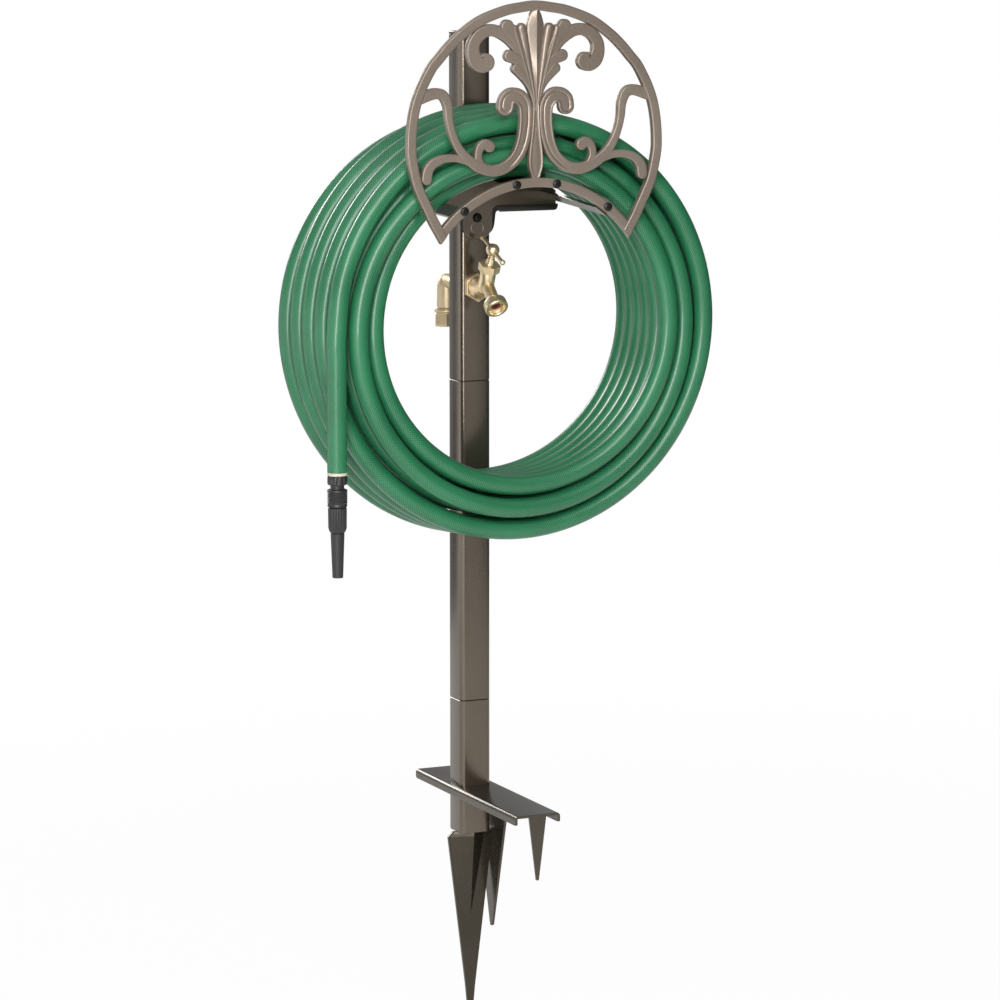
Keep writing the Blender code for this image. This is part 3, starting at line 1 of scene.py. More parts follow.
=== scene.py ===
"""Looks of the hose stand: the coiled hose, the cast ornamental plate, the square post with its
saddle, step plate and spikes, the brass faucet, the swivel inlet and the nozzle.

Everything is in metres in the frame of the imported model: +X right when facing the plate, -Y
towards the front, +Z up, with the origin on the post's axis at the ground line.
"""
import json
from math import cos, pi, radians, sin

import bmesh
import bpy
import numpy as np
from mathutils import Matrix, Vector


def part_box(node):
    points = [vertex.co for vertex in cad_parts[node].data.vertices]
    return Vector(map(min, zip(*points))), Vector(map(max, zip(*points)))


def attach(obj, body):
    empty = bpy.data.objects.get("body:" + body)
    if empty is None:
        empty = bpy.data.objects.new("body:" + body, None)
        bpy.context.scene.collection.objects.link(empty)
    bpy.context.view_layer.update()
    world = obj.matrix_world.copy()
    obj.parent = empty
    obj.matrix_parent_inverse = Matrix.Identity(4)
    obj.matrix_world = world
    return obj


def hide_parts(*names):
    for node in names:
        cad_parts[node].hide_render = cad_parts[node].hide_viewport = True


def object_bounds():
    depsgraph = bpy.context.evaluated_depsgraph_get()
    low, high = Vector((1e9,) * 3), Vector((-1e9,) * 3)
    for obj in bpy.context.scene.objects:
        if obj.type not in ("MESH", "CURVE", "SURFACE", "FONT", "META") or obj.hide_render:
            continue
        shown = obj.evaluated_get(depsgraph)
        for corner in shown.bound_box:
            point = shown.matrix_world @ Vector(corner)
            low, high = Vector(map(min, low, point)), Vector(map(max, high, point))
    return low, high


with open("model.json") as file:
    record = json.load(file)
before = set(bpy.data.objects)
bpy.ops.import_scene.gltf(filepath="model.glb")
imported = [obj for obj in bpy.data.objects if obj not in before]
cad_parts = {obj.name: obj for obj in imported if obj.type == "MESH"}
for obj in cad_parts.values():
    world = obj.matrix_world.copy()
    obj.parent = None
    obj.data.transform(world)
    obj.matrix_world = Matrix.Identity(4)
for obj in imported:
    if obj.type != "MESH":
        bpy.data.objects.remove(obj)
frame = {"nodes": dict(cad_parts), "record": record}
cad_low, cad_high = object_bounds()

MM = 0.001
FRONT, BACK = np.array((0.0, -1.0, 0.0)), np.array((0.0, 1.0, 0.0))
UP, DOWN = np.array((0.0, 0.0, 1.0)), np.array((0.0, 0.0, -1.0))
PLATE_TOP = 0.003                     # top face of the step plate above the ground line
WELD = 1e-7                           # points that agree to this are one
CURVE_STEPS = 24                      # of a smooth line between two of its points


# Meshes from numpy grids

def quads_of(rows, columns, closed=False):
    """Corner numbers of the quads of a grid whose point (i, j) is number i * columns + j."""
    i, j = np.meshgrid(np.arange(rows - 1), np.arange(columns if closed else columns - 1), indexing="ij")
    k = (j + 1) % columns
    corners = (i * columns + j, i * columns + k, (i + 1) * columns + k, (i + 1) * columns + j)
    return np.stack(corners, axis=-1).reshape(-1, 4)


def shell_volume(points, quads):
    """Signed volume inside a closed shell of quads: each is two tetrahedra from the origin."""
    a, b, c, d = (points[quads[:, k]] for k in range(4))
    return (np.einsum("ij,ij->", a, np.cross(b, c)) + np.einsum("ij,ij->", a, np.cross(c, d))) / 6


def shell(points, closed=False, caps=False):
    """A grid (rows, columns, 3) as a shell; caps closes its first and last row with a fan to their middle."""
    grid = np.asarray(points, float)
    if caps:
        first = np.repeat(grid[:1].mean(axis=1, keepdims=True), grid.shape[1], axis=1)
        last = np.repeat(grid[-1:].mean(axis=1, keepdims=True), grid.shape[1], axis=1)
        grid = np.concatenate([first, grid, last])
    return grid.reshape(-1, 3), quads_of(*grid.shape[:2], closed)


def outward(points, quads):
    """The same shell with its faces turned so that the volume inside is positive."""
    return (points, quads) if shell_volume(points, quads) > 0 else (points, quads[:, ::-1])


def mirrored(part):
    """The same shell on the other side of the stand's middle."""
    points, quads = part
    return points * (-1, 1, 1), quads


def welded_mesh(name, shells, uv=None):
    """One mesh from closed shells: points that coincide are welded and flat corners dropped."""
    points, quads, offset = [], [], 0
    for part_points, part_quads in shells:
        part_points, part_quads = outward(part_points, part_quads)
        points.append(part_points)
        quads.append(part_quads + offset)
        offset += len(part_points)
    points, quads = np.concatenate(points), np.concatenate(quads)
    first, new = np.unique(np.round(points / WELD).astype(np.int64), axis=0,
                           return_index=True, return_inverse=True)[1:]
    corners = new.ravel()[quads]
    keep = corners != np.roll(corners, 1, axis=1)
    keep[keep.sum(axis=1) < 3] = False
    loops = corners[keep]
    sizes = keep.sum(axis=1)
    sizes = sizes[sizes > 0]
    mesh = bpy.data.meshes.new(name)
    mesh.vertices.add(len(first))
    mesh.vertices.foreach_set("co", points[first].astype(np.float32).ravel())
    mesh.loops.add(len(loops))
    mesh.loops.foreach_set("vertex_index", loops.astype(np.int32))
    mesh.polygons.add(len(sizes))
    mesh.polygons.foreach_set("loop_start", np.concatenate([[0], np.cumsum(sizes)[:-1]]).astype(np.int32))
    mesh.update(calc_edges=True)
    if uv is not None:
        layer = mesh.uv_layers.new(name="UVMap")
        layer.data.foreach_set("uv", uv[quads][keep].astype(np.float32).ravel())
    mesh.validate()
    return mesh


def add_piece(name, mesh, finish, body, angle):
    """Puts a mesh on a body with its finish, smooth but for edges sharper than the angle in degrees."""
    mesh.materials.clear()
    mesh.materials.append(finish)
    mesh.shade_smooth()
    mesh.set_sharp_from_angle(angle=radians(angle))
    piece = bpy.data.objects.new(name, mesh)
    bpy.context.scene.collection.objects.link(piece)
    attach(piece, body)
    return piece


def make_piece(name, shells, finish, body="root", angle=35, uv=None):
    """A piece made of closed shells."""
    return add_piece(name, welded_mesh(name, shells, uv), finish, body, angle)


def stand_for(piece, slot, *nodes):
    """Hides the solids that a piece stands for, and returns the piece. The slot is not used."""
    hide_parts(*nodes)
    return piece


# Curves and profiles

def smooth_line(points, spacing):
    """A Catmull-Rom curve through the points, resampled at an even spacing."""
    line = np.array(points, float)
    ends = np.vstack([2 * line[0] - line[1], line, 2 * line[-1] - line[-2]])
    t = np.linspace(0, 1, CURVE_STEPS, endpoint=False)[None, :, None]
    a, b, c, d = (ends[k:len(ends) - 3 + k, None, :] for k in range(4))
    fine = 0.5 * (2 * b + (c - a) * t + (2 * a - 5 * b + 4 * c - d) * t**2 + (3 * b - a - 3 * c + d) * t**3)
    return resample(np.vstack([fine.reshape(-1, line.shape[1]), line[-1:]]), spacing)


def lengths_along(line):
    """The length of a polyline up to each of its points."""
    return np.concatenate([[0], np.cumsum(np.linalg.norm(np.diff(line, axis=0), axis=1))])


def directions(line):
    """The unit direction of a line at each of its points."""
    along = np.gradient(line, axis=0)
    return along / np.linalg.norm(along, axis=1)[:, None]


def leftwards(along):
    """Directions in a plane, each turned a quarter turn anticlockwise."""
    return np.stack([-along[:, 1], along[:, 0]], axis=1)


def resample(line, spacing):
    """Points at an even spacing along a polyline, its two ends kept."""
    way = lengths_along(line)
    count = max(2, int(round(way[-1] / spacing)) + 1)
    at = np.linspace(0, way[-1], count)
    return np.stack([np.interp(at, way, line[:, k]) for k in range(line.shape[1])], axis=1)


def arc(centre, radius, start, end, count):
    """Points on an arc, with angles in degrees anticlockwise from the first axis."""
    turn = np.radians(np.linspace(start, end, count))
    return np.stack([centre[0] + radius * np.cos(turn), centre[1] + radius * np.sin(turn)], axis=1)


# Materials

class Value:
    """A shader socket that takes part in arithmetic: each expression adds its Math nodes."""

    def __init__(self, look, socket):
        self.look, self.socket = look, socket

    def math(self, operation, *values):
        return self.look.value("Math", {"operation": operation}, dict(enumerate(values)))

    def __add__(self, other):
        return self.math("ADD", self, other)

    def __sub__(self, other):
        return self.math("SUBTRACT", self, other)

    def __rsub__(self, other):
        return self.math("SUBTRACT", other, self)

    def __mul__(self, other):
        return self.math("MULTIPLY", self, other)

    __radd__ = __add__
    __rmul__ = __mul__

    def sine(self):
        return self.math("SINE", self)

    def absolute(self):
        return self.math("ABSOLUTE", self)

    def dot(self, way):
        inputs = {0: self, 1: way}
        return self.look.value("VectorMath", {"operation": "DOT_PRODUCT"}, inputs, "Value")

    def size(self):
        return self.look.value("VectorMath", {"operation": "LENGTH"}, {0: self}, "Value")

    def ramp(self, low, high):
        """0 below low and 1 above high, eased between."""
        return self.look.value("MapRange", {"interpolation_type": "SMOOTHSTEP"},
                               {"Value": self, "From Min": low, "From Max": high})


class Nodes:
    """A node tree with a method that adds any node with its settings and inputs."""

    def __init__(self, tree):
        self.tree = tree

    def node(self, kind, settings=None, inputs=None):
        made = self.tree.nodes.new("ShaderNode" + kind)
        for key, value in (settings or {}).items():
            setattr(made, key, value)
        for key, value in (inputs or {}).items():
            self.put(made.inputs[key], value)
        return made

    def put(self, socket, value):
        """Feeds a socket with a value, a node's first output, a colour without its alpha, or a constant."""
        if isinstance(value, Value):
            self.tree.links.new(value.socket, socket)
        elif hasattr(value, "outputs"):
            self.tree.links.new(value.outputs[0], socket)
        elif hasattr(value, "__len__") and len(value) == 3 and len(socket.default_value) == 4:
            socket.default_value = (*value, 1.0)
        else:
            socket.default_value = value

    def value(self, kind, settings=None, inputs=None, output=0):
        return Value(self, self.node(kind, settings, inputs).outputs[output])

    def rays(self):
        """1 for a ray from the camera, from a glossy face or through glass, and otherwise 0."""
        path = self.node("LightPath").outputs
        kinds = ("Is Camera Ray", "Is Glossy Ray", "Is Transmission Ray")
        return (Value(self, path[kind]) for kind in kinds)


class Look(Nodes):
    """One material on a Principled shader."""

    def __init__(self, name, **sockets):
        self.material = bpy.data.materials.new(name)
        self.material.use_nodes = True
        super().__init__(self.material.node_tree)
        self.shader = self.tree.nodes["Principled BSDF"]
        self.set(**sockets)

    def set(self, **sockets):
        for key, value in sockets.items():
            self.put(self.shader.inputs[key.replace("_", " ")], value)

    def place(self):
        return self.value("TexCoord", output="Object")

    def noise(self, scale, detail):
        return self.value("TexNoise", inputs={"Vector": self.place(), "Scale": scale, "Detail": detail})

    def mix(self, share, first, second):
        return self.value("Mix", {"data_type": "RGBA"}, {0: share, 6: first, 7: second}, output=2)

    def bump(self, height, strength, distance):
        inputs = {"Height": height, "Strength": strength, "Distance": distance}
        self.set(Normal=self.value("Bump", inputs=inputs))


def paint(name, dark, light, metallic, gloss, coat=0.12, peel=0.18):
    """Powder coat with a metallic cast: slow clouds of tone, fine speckle and a faint orange peel."""
    look = Look(name, Metallic=metallic, Coat_Weight=coat, Coat_Roughness=0.16)
    clouds = look.noise(7.0, 4).ramp(0.35, 0.68)
    grain = look.noise(950.0, 2).ramp(0.38, 0.66)
    look.set(Base_Color=look.mix(clouds * 0.5 + grain * 0.5, dark, light),
             Roughness=gloss + grain * 0.08 + clouds * 0.05)
    look.bump(look.noise(420.0, 2) + 0.6 * look.noise(1300.0, 1), peel, 0.0004)
    return look.material


def black_oxide(name):
    """Blackened steel, rougher where its grain is paler."""
    look = Look(name, Metallic=0.6)
    grain = look.noise(700.0, 3)
    look.set(Base_Color=look.mix(grain, (0.008, 0.008, 0.009), (0.03, 0.029, 0.028)),
             Roughness=0.28 + grain * 0.2)
    look.bump(grain, 0.15, 0.0002)
    return look.material


def brass(name, gloss=0.25, depth=1.0):
    """Brass with slow changes of tone and a polishing grain. A lower depth darkens its tone, which the dull
    brass uses as painted shade.
    """
    look = Look(name, Metallic=0.9)
    clouds = look.noise(45.0, 4).ramp(0.3, 0.7)
    grain = look.noise(1100.0, 3)
    dark, light = (tuple(depth * part for part in tone) for tone in ((0.80, 0.62, 0.37), (0.93, 0.77, 0.53)))
    look.set(Base_Color=look.mix(clouds * 0.6 + grain * 0.4, dark, light),
             Roughness=gloss + grain * 0.14 + clouds * 0.05)
    look.bump(look.noise(320.0, 3) + grain * 0.5, 0.10, 0.0004)
    return look.material


def washer_rubber(name):
    """Red rubber with an even fine grain."""
    look = Look(name)
    grain = look.noise(900.0, 3)
    look.set(Base_Color=look.mix(grain, (0.10, 0.010, 0.008), (0.20, 0.025, 0.018)),
             Roughness=0.5 + grain * 0.2)
    look.bump(grain, 0.2, 0.0002)
    return look.material


def moulded(name, dark, light, gloss):
    """Moulded plastic with slow changes of tone and a faint grain."""
    look = Look(name)
    grain = look.noise(800.0, 3)
    clouds = look.noise(30.0, 2)
    look.set(Base_Color=look.mix(grain * 0.5 + clouds * 0.5, dark, light), Roughness=gloss + grain * 0.18)
    look.bump(grain, 0.12, 0.0003)
    return look.material


HOSE_THREADS = 22                     # threads each way round the hose
HOSE_LAY = 1.0                        # turns of a thread in each circumference of length


def hose_vinyl(name):
    """Clear green vinyl over a braid: two sets of threads wind along UV, one each way."""
    look = Look(name, Coat_Weight=0.3, Coat_Roughness=0.12)
    split = look.node("SeparateXYZ", inputs={"Vector": look.value("TexCoord", output="UV")})
    around, along = Value(look, split.outputs[0]), Value(look, split.outputs[1])
    first = ((around + along * HOSE_LAY) * (HOSE_THREADS * pi)).sine().absolute()
    second = ((around - along * HOSE_LAY) * (HOSE_THREADS * pi)).sine().absolute()
    thread = 1.0 - first.ramp(0.10, 0.55) * second.ramp(0.10, 0.55)
    clouds = look.noise(14.0, 3).ramp(0.3, 0.7)
    deep = look.mix(clouds, (0.004, 0.080, 0.030), (0.010, 0.128, 0.050))
    look.set(Base_Color=look.mix(thread * 0.7, deep, (0.048, 0.312, 0.142)), Roughness=0.34 + thread * 0.10)
    look.bump(thread, 0.12, 0.0004)
    return look.material


casting_paint = paint("casting_bronze", (0.240, 0.190, 0.150), (0.320, 0.264, 0.218), 0.55, 0.30)
post_paint = paint("post_bronze", (0.132, 0.106, 0.080), (0.164, 0.134, 0.103), 0.80, 0.15, coat=0.3,
                   peel=0.05)
# Near black: painted shade on the saddle's lip, standing in for the dark it faces
lip_shade_paint = paint("lip_painted_shade", (0.012, 0.010, 0.008), (0.024, 0.020, 0.016), 0.3, 0.30, coat=0.3, peel=0.06)
spike_coat = paint("spike_bronze", (0.046, 0.037, 0.024), (0.068, 0.056, 0.039), 0.7, 0.24, coat=0.2,
                   peel=0.08)
plate_coat = paint("step_plate_bronze", (0.070, 0.058, 0.043), (0.104, 0.088, 0.067), 0.7, 0.20, coat=0.25,
                   peel=0.06)
screw_black = black_oxide("black_oxide")
pale_brass = brass("pale_brass")
# Rougher, and darkened to 0.72 as painted shade for the back nut, elbow and coupling behind the post
dull_shaded_brass = brass("dull_shaded_brass", 0.40, 0.72)
red_rubber = washer_rubber("washer_rubber")
green_vinyl = hose_vinyl("green_vinyl")
cream = moulded("cream_ring", (0.55, 0.50, 0.38), (0.72, 0.68, 0.55), 0.38)
dark_plastic = moulded("nozzle_plastic", (0.012, 0.012, 0.013), (0.035, 0.035, 0.037), 0.34)


# Camera, light and floor

WHITE = (1.0, 1.0, 1.0)
CAMERA_PLACE = (-1.89226, -4.20917, 1.01884)
CAMERA_TILT, CAMERA_TURN = 81.6208, -24.6486          # degrees: up from straight down, and left from +Y
LENS, SENSOR = 144.0, 36.0                            # millimetres
CAMERA_DIP = 0.146                                    # how far its unit direction goes down


def make_camera():
    """The eye and its aim, which put the stand in the frame as the reference view does."""
    lens = bpy.data.cameras.new("camera")
    lens.lens, lens.sensor_width = LENS, SENSOR
    lens.clip_start, lens.clip_end = 0.1, 50.0
    camera = bpy.data.objects.new("camera", lens)
    camera.location = CAMERA_PLACE
    camera.rotation_euler = (radians(CAMERA_TILT), 0.0, radians(CAMERA_TURN))
    bpy.context.scene.collection.objects.link(camera)
    bpy.context.scene.camera = camera


def make_lamp(name, place, size, power, aim=(0.0, 0.0, 0.55)):
    """A lamp of a width and height that shines from its place at its aim."""
    light = bpy.data.lights.new(name, "AREA")
    light.shape, light.size, light.size_y = "RECTANGLE", *size
    light.energy = power
    lamp = bpy.data.objects.new(name, light)
    lamp.location = place
    lamp.rotation_mode = "QUATERNION"
    lamp.rotation_quaternion = (Vector(aim) - Vector(place)).to_track_quat("-Z", "Y")
    bpy.context.scene.collection.objects.link(lamp)


def make_world():
    """White where it is seen. Shiny faces see bright fields in it on the left, in front, behind and above."""
    world = bpy.data.worlds.new("studio")
    bpy.context.scene.world = world
    world.use_nodes = True
    studio = Nodes(world.node_tree)
    way = studio.value("TexCoord", output="Generated")
    height = way.dot((0.0, 0.0, 1.0))
    level = 1.0 - (height + CAMERA_DIP).absolute().ramp(0.12, 0.34)
    left = way.dot((-0.985, -0.174, 0.0)).ramp(0.29, 0.39)
    front = way.dot((0.259, -0.961, -0.10)).ramp(0.950, 0.982)
    behind = way.dot((-0.208, 0.978, 0.0)).ramp(0.972, 0.992)
    low_behind = way.dot((0.41, 0.90, 0.12)).ramp(0.80, 0.98)
    high_behind = way.dot((-0.13, 0.90, 0.42)).ramp(0.94, 0.99)
    above = height.ramp(0.45, 0.95)
    camera, glossy, through = studio.rays()
    shine = (0.06 + left * (0.35 + level * 0.9) + front * 0.6 + behind * 0.5 + low_behind * 0.28
             + high_behind * 1.2 + above * 0.6)
    white = studio.node("Background", inputs={"Color": WHITE, "Strength": camera + through + glossy * shine})
    soft = studio.node("Background", inputs={"Color": WHITE, "Strength": 0.17 + left * 0.16 + above * 0.2})
    seen = studio.node("MixShader", inputs={0: camera + glossy + through, 1: soft, 2: white})
    studio.put(world.node_tree.nodes["World Output"].inputs["Surface"], seen)


FLOOR_DROP = 0.002                    # below the lowest spike
FLOOR_HALF = 2.6
FLOOR_POINTS = 13                     # along each side


def make_floor():
    """A white floor under the spikes. It keeps some shadow near the stand and fades to the background."""
    height = cad_low[2] - FLOOR_DROP
    side = np.linspace(-FLOOR_HALF, FLOOR_HALF, FLOOR_POINTS)
    x, y = np.meshgrid(side, side, indexing="ij")
    grid = np.stack([x, y, np.full_like(x, height)], axis=-1)
    mesh = bpy.data.meshes.new("floor")
    mesh.from_pydata(grid.reshape(-1, 3).tolist(), [], quads_of(FLOOR_POINTS, FLOOR_POINTS).tolist())
    floor = bpy.data.objects.new("floor", mesh)
    bpy.context.scene.collection.objects.link(floor)
    look = Look("floor", Base_Color=(0.98, 0.98, 0.98), Roughness=0.85)
    glow = look.node("Emission", inputs={"Color": WHITE, "Strength": 1.0})
    seen, glossy, through = look.rays()
    far = look.place().size().ramp(1.0, 2.4)
    share = (seen + through) * (0.95 + far * 0.05) + glossy * 0.5
    blend = look.node("MixShader", inputs={0: share, 1: look.shader, 2: glow})
    look.put(look.tree.nodes["Material Output"].inputs["Surface"], blend)
    mesh.materials.append(look.material)


bpy.context.scene.view_settings.view_transform = "Standard"
make_camera()
make_world()
make_floor()
make_lamp("key", (-1.7, -2.6, 1.3), (0.7, 2.2), 62.0, aim=(0.0, 0.0, 0.8))
make_lamp("fill", (-0.6, -3.6, 2.4), (1.8, 1.4), 56.0)
make_lamp("rim", (-0.60, 3.1, 1.5), (1.3, 0.9), 30.0)


# Hose

HOSE_RADIUS = 0.0110
COIL_X, COIL_Z = -0.003, 0.5556885    # the coil's axis
COIL_FRONT, COIL_BACK = 0.1625, 0.0390                # its first and last loop, in front of the post's axis
COIL_TOP_RADIUS, LAYER_RISE = 0.1780, 0.0260          # the inner layer's radius, and the step to the next
SADDLE_SLOPE = 0.065                  # growth of the radius for each metre towards the back
COIL_TAIL_BACK, LEAD_BACK, LEAD_TURN = 0.0123, 0.0315, 0.34           # the start, past the post
CLIMB_TURN, CLIMB_ROOM = 0.75, 0.0230                 # where the inner layer ends, and its room there
START_ANGLE, INNER_TURNS, MIDDLE_TURNS, OUTER_TURNS = 135.0, 5.625, 4.5, 4.0
POINTS_A_TURN = 24
HANG_POINTS = 7                       # of the straight end that hangs down
HANG_X = COIL_X - COIL_TOP_RADIUS - 2 * LAYER_RISE
HANG_LOW = PLATE_TOP + 0.4033
HOSE_SIDES = 28
HOSE_SPACING = 0.0062                 # between two rings of the tube


def coil_layer(start_angle, turns, depths, layers):
    """One stretch of the coil, round its axis at an even pace.

    The depth runs evenly through its values. The radius is the top radius, plus a rise for each
    layer, which eases by half a cosine, plus the slope times the depth behind the first loop.
    """
    share = np.arange(round(turns * POINTS_A_TURN)) / round(turns * POINTS_A_TURN)
    depth = np.interp(share, depths[0], depths[1])
    layer = layers[0] + (layers[1] - layers[0]) * (1 - np.cos(pi * share)) / 2
    radius = COIL_TOP_RADIUS + layer * LAYER_RISE + SADDLE_SLOPE * (depth + COIL_FRONT)
    angle = np.radians(start_angle + 360 * turns * share)
    return np.stack([COIL_X + radius * np.cos(angle), depth, COIL_Z + radius * np.sin(angle)], axis=1)


def hose_route():
    """From the ferrule at the back through three layers of loops and down to the nozzle.

    A stretch has its turns, its depths at shares of them, and the layers from which and to which it goes.
    """
    turns_at = (0, LEAD_TURN / INNER_TURNS, 1 - CLIMB_TURN / INNER_TURNS, 1)
    inner = (-COIL_TAIL_BACK, -LEAD_BACK, CLIMB_ROOM - COIL_FRONT, -COIL_FRONT)
    stretches = (
        (INNER_TURNS, (turns_at, inner), (0, 0)),
        (0.5, ((0, 1), (-COIL_FRONT, -COIL_FRONT)), (0, 1)),
        (MIDDLE_TURNS, ((0, 1), (-COIL_FRONT, -COIL_BACK)), (1, 1)),
        (0.5, ((0, 1), (-COIL_BACK, -COIL_BACK)), (1, 2)),
        (OUTER_TURNS, ((0, 1), (-COIL_BACK, -COIL_FRONT)), (2, 2)),
    )
    loops, angle = [], START_ANGLE
    for turns, depths, layers in stretches:
        loops.append(coil_layer(angle, turns, depths, layers))
        angle += 360 * turns
    start_way = np.array((sin(radians(START_ANGLE)), 0, -cos(radians(START_ANGLE))))
    first = loops[0][0] + start_way * 2 * HOSE_RADIUS
    end = np.array((HANG_X, -COIL_FRONT, COIL_Z))
    hang = end - np.outer(np.linspace(0, 1, HANG_POINTS), (0, 0, COIL_Z - HANG_LOW))
    return np.vstack([first[None], *loops, hang])


def make_hose(tool):
    """A round tube: line + radius * (cos(turn) * side + sin(turn) * other), with both across the line.

    UV counts turns round it and girths along it.
    """
    line = smooth_line(hose_route(), HOSE_SPACING)
    along = directions(line)
    side = np.cross(along, (0.0, 1.0, 0.0))
    side /= np.linalg.norm(side, axis=1)[:, None]
    other = np.cross(along, side)
    turn = np.linspace(0, 2 * pi, HOSE_SIDES + 1)
    ring = np.cos(turn)[None, :, None] * side[:, None] + np.sin(turn)[None, :, None] * other[:, None]
    tube = shell(line[:, None] + HOSE_RADIUS * ring, caps=True)
    way = lengths_along(line)
    girths = np.concatenate([way[:1], way, way[-1:]]) / (2 * pi * HOSE_RADIUS)
    u, v = np.broadcast_arrays((turn / (2 * pi))[None], girths[:, None])
    hose = make_piece("garden_hose", [tube], green_vinyl, uv=np.stack([u, v], axis=-1).reshape(-1, 2))
    stand_for(hose, "green_hose", "hose_coil", "hose_end")
    tail = [frame["nodes"][name] for name in ("hose_tail_ferrule", "hose_tail_nut", "hose_tail_washer")]
    tail + tool


# Cast ornamental plate: (across, up) points in millimetres from the middle of its arch

CAST_BACK = 0.1754                    # depth of its back face in front of the post's axis
CAST_HEIGHT = PLATE_TOP + 0.5706      # of the arch's middle
CAST_TOP = 8.0                        # its face above its back
CAST_EDGE = [(0, 1, -8), (0.6, 0, -8), (0, 0, -7.5), (0, 0, -1.2), (0.15, 0, -0.85), (0.75, 0, -0.25),
             (1.05, 0, -0.06)]

# Columns of a half section, from the back to the middle line: inset from the edge, share of
# the half width further in, and height from the face
PLAIN = np.array([*CAST_EDGE, (1.6, 0, 0), (3.4, 0, 0), (4.2, 0, 0), (5.0, 0, 0), (5.8, 0, 0), (0, 1, 0)])
GROOVED = np.array([*CAST_EDGE, (2.4, 0, 0), (4.0, 0, -0.1), (4.7, 0, -0.8), (5.6, 0, -1.25),
                    (6.5, 0, -0.65), (0, 1, -0.55)])
INNER_RIM = np.array([*CAST_EDGE, (1.6, 0, 0), (2.1, 0, -0.1), (2.7, 0, -0.5), (3.4, 0, -0.6),
                      (5.0, 0, -0.55), (0, 1, -0.55)])
HOLLOW = np.array([*CAST_EDGE, (1.8, 0, -0.02), (2.5, 0, -0.4), (3.1, 0, -1.0), (3.8, 0, -1.15),
                   (5.0, 0, -1.0), (0, 1, -0.8)])
RIDGED = np.array([*CAST_EDGE[:3], (0, 0, -4.1), (0.1, 0.03, -3.6), (0, 0.14, -3.05), (0, 0.28, -2.5),
                   (0, 0.42, -2.0), (0, 0.56, -1.5), (0, 0.7, -1.0), (0, 0.84, -0.52), (0, 0.95, -0.15),
                   (0, 1, 0)])
FLUTED = np.array([*CAST_EDGE[:3], (0, 0, -3.3), (0.1, 0.03, -2.7), (0, 0.12, -2.0), (0, 0.24, -1.35),
                   (0, 0.38, -0.8), (0, 0.52, -0.42), (0, 0.66, -0.2), (0, 0.8, -0.07), (0, 0.92, -0.01),
                   (0, 1, 0)])
MITRE = 0.39                          # shift along the ring for each millimetre across its feet
MITRE_EASE = 14.0                     # length of ring over which it sets in
BAND_SPACING = 1.0                    # between two rows of a band
FOLD_STEPS = 7                        # rows of a round end
BACK_LIFT = 0.04                      # least height of a band's back


def profile_rows(profile, share):
    """The half section at each share of a path: one profile, or (first, second, start, end of the mix)."""
    if not isinstance(profile, tuple):
        return np.broadcast_to(profile, (len(share), *profile.shape))
    first, second, start, end = profile
    mix = np.clip((share - start) / (end - start), 0, 1)[:, None, None]
    return first * (1 - mix) + second * mix


def cast_band(path, widths, left=PLAIN, right=PLAIN, drop=0.0, ends=(False, True), mitre=0.0):
    """A band of the casting: a section of two halves carried along a curve, its round ends folded shut.

    At a round end the left half turns through a quarter circle forwards and the right half
    through the other, so that they meet in front. A square end is a fan to its middle, slanted
    by the mitre. drop lowers the band's face, and raises its back by a hair so that no two
    backs share a plane.
    """
    line = smooth_line(path, BAND_SPACING)
    along = directions(line)
    share = np.linspace(0, 1, len(line))
    half = np.interp(share, np.linspace(0, 1, len(widths)), widths) / 2
    left, right = profile_rows(left, share), profile_rows(right, share)
    from_end = np.minimum(np.arange(len(line)), np.arange(len(line))[::-1]) * BAND_SPACING
    slant = mitre * np.clip(1 - from_end / MITRE_EASE, 0, 1) ** 2 * np.where(share < 0.5, -1, 1)
    band = cast_row(line, along, half, left, right, 0.0, slant)
    fold = np.radians(np.linspace(0, 90, FOLD_STEPS + 1)[1:])

    def end_rows(end, way):
        """The rows from one end of the band outwards."""
        if not ends[end]:
            return band[[end]].mean(axis=1, keepdims=True).repeat(band.shape[1], axis=1)
        values = (np.repeat(value[end][None], FOLD_STEPS, axis=0)
                  for value in (line, along, half, left, right))
        return cast_row(*values, fold * way)

    grid = np.concatenate([end_rows(0, -1)[::-1], band, end_rows(-1, 1)])
    height = np.maximum(CAST_TOP + grid[..., 2] - drop, BACK_LIFT + drop * 0.1)
    place = np.stack([grid[..., 0] * MM, -CAST_BACK - height * MM, CAST_HEIGHT + grid[..., 1] * MM], axis=-1)
    return shell(place, closed=True)


def cast_row(line, along, half, left, right, turns, slant=0.0):
    """Rows of (across, up, height) points; turns swings the two halves forwards from square.

    A point lies half * (1 - its share) - its inset from the line, as high as its profile says there.
    """
    side = leftwards(along)
    turns = np.broadcast_to(turns, len(line))[:, None]
    slant = np.broadcast_to(slant, len(line))[:, None]
    cosine, sine = np.cos(turns), np.sin(turns)
    share = np.abs(turns) / (pi / 2) * 0.5
    found = []
    for profile, other, sign in ((left, right, 1), (right, left, -1)):
        reach = np.maximum(half[:, None] * (1 - profile[..., 1]) - profile[..., 0], 0)
        way = sign * cosine * side + (sine + sign * slant) * along
        height = profile[..., 2] * (1 - share) + other[..., 2] * share
        flat = line[:, None] + way[:, None] * reach[..., None]
        found.append(np.concatenate([flat, height[..., None]], axis=2))
    return np.concatenate([found[0], found[1][:, ::-1]], axis=1)


RING_EDGE = [
    (0, 347.4), (20, 345.2), (40, 341.4), (70, 330.4), (94.4, 314.4), (110, 300.4), (120.6, 288.8),
    (130, 278.2), (138.8, 263.2), (145, 250.4), (150.6, 234.4), (154.4, 214.4), (156, 191.9),
    (155, 174.4), (149.4, 148.2), (143.5, 133.4), (136.5, 119.4), (128.5, 103.4), (122, 92.4), (116.7, 83.35),
]
RING_WIDTH = 11.0
ARCH_RADIUS, ARCH_WIDTH, ARCH_REACH = 146.5, 10.6, 52


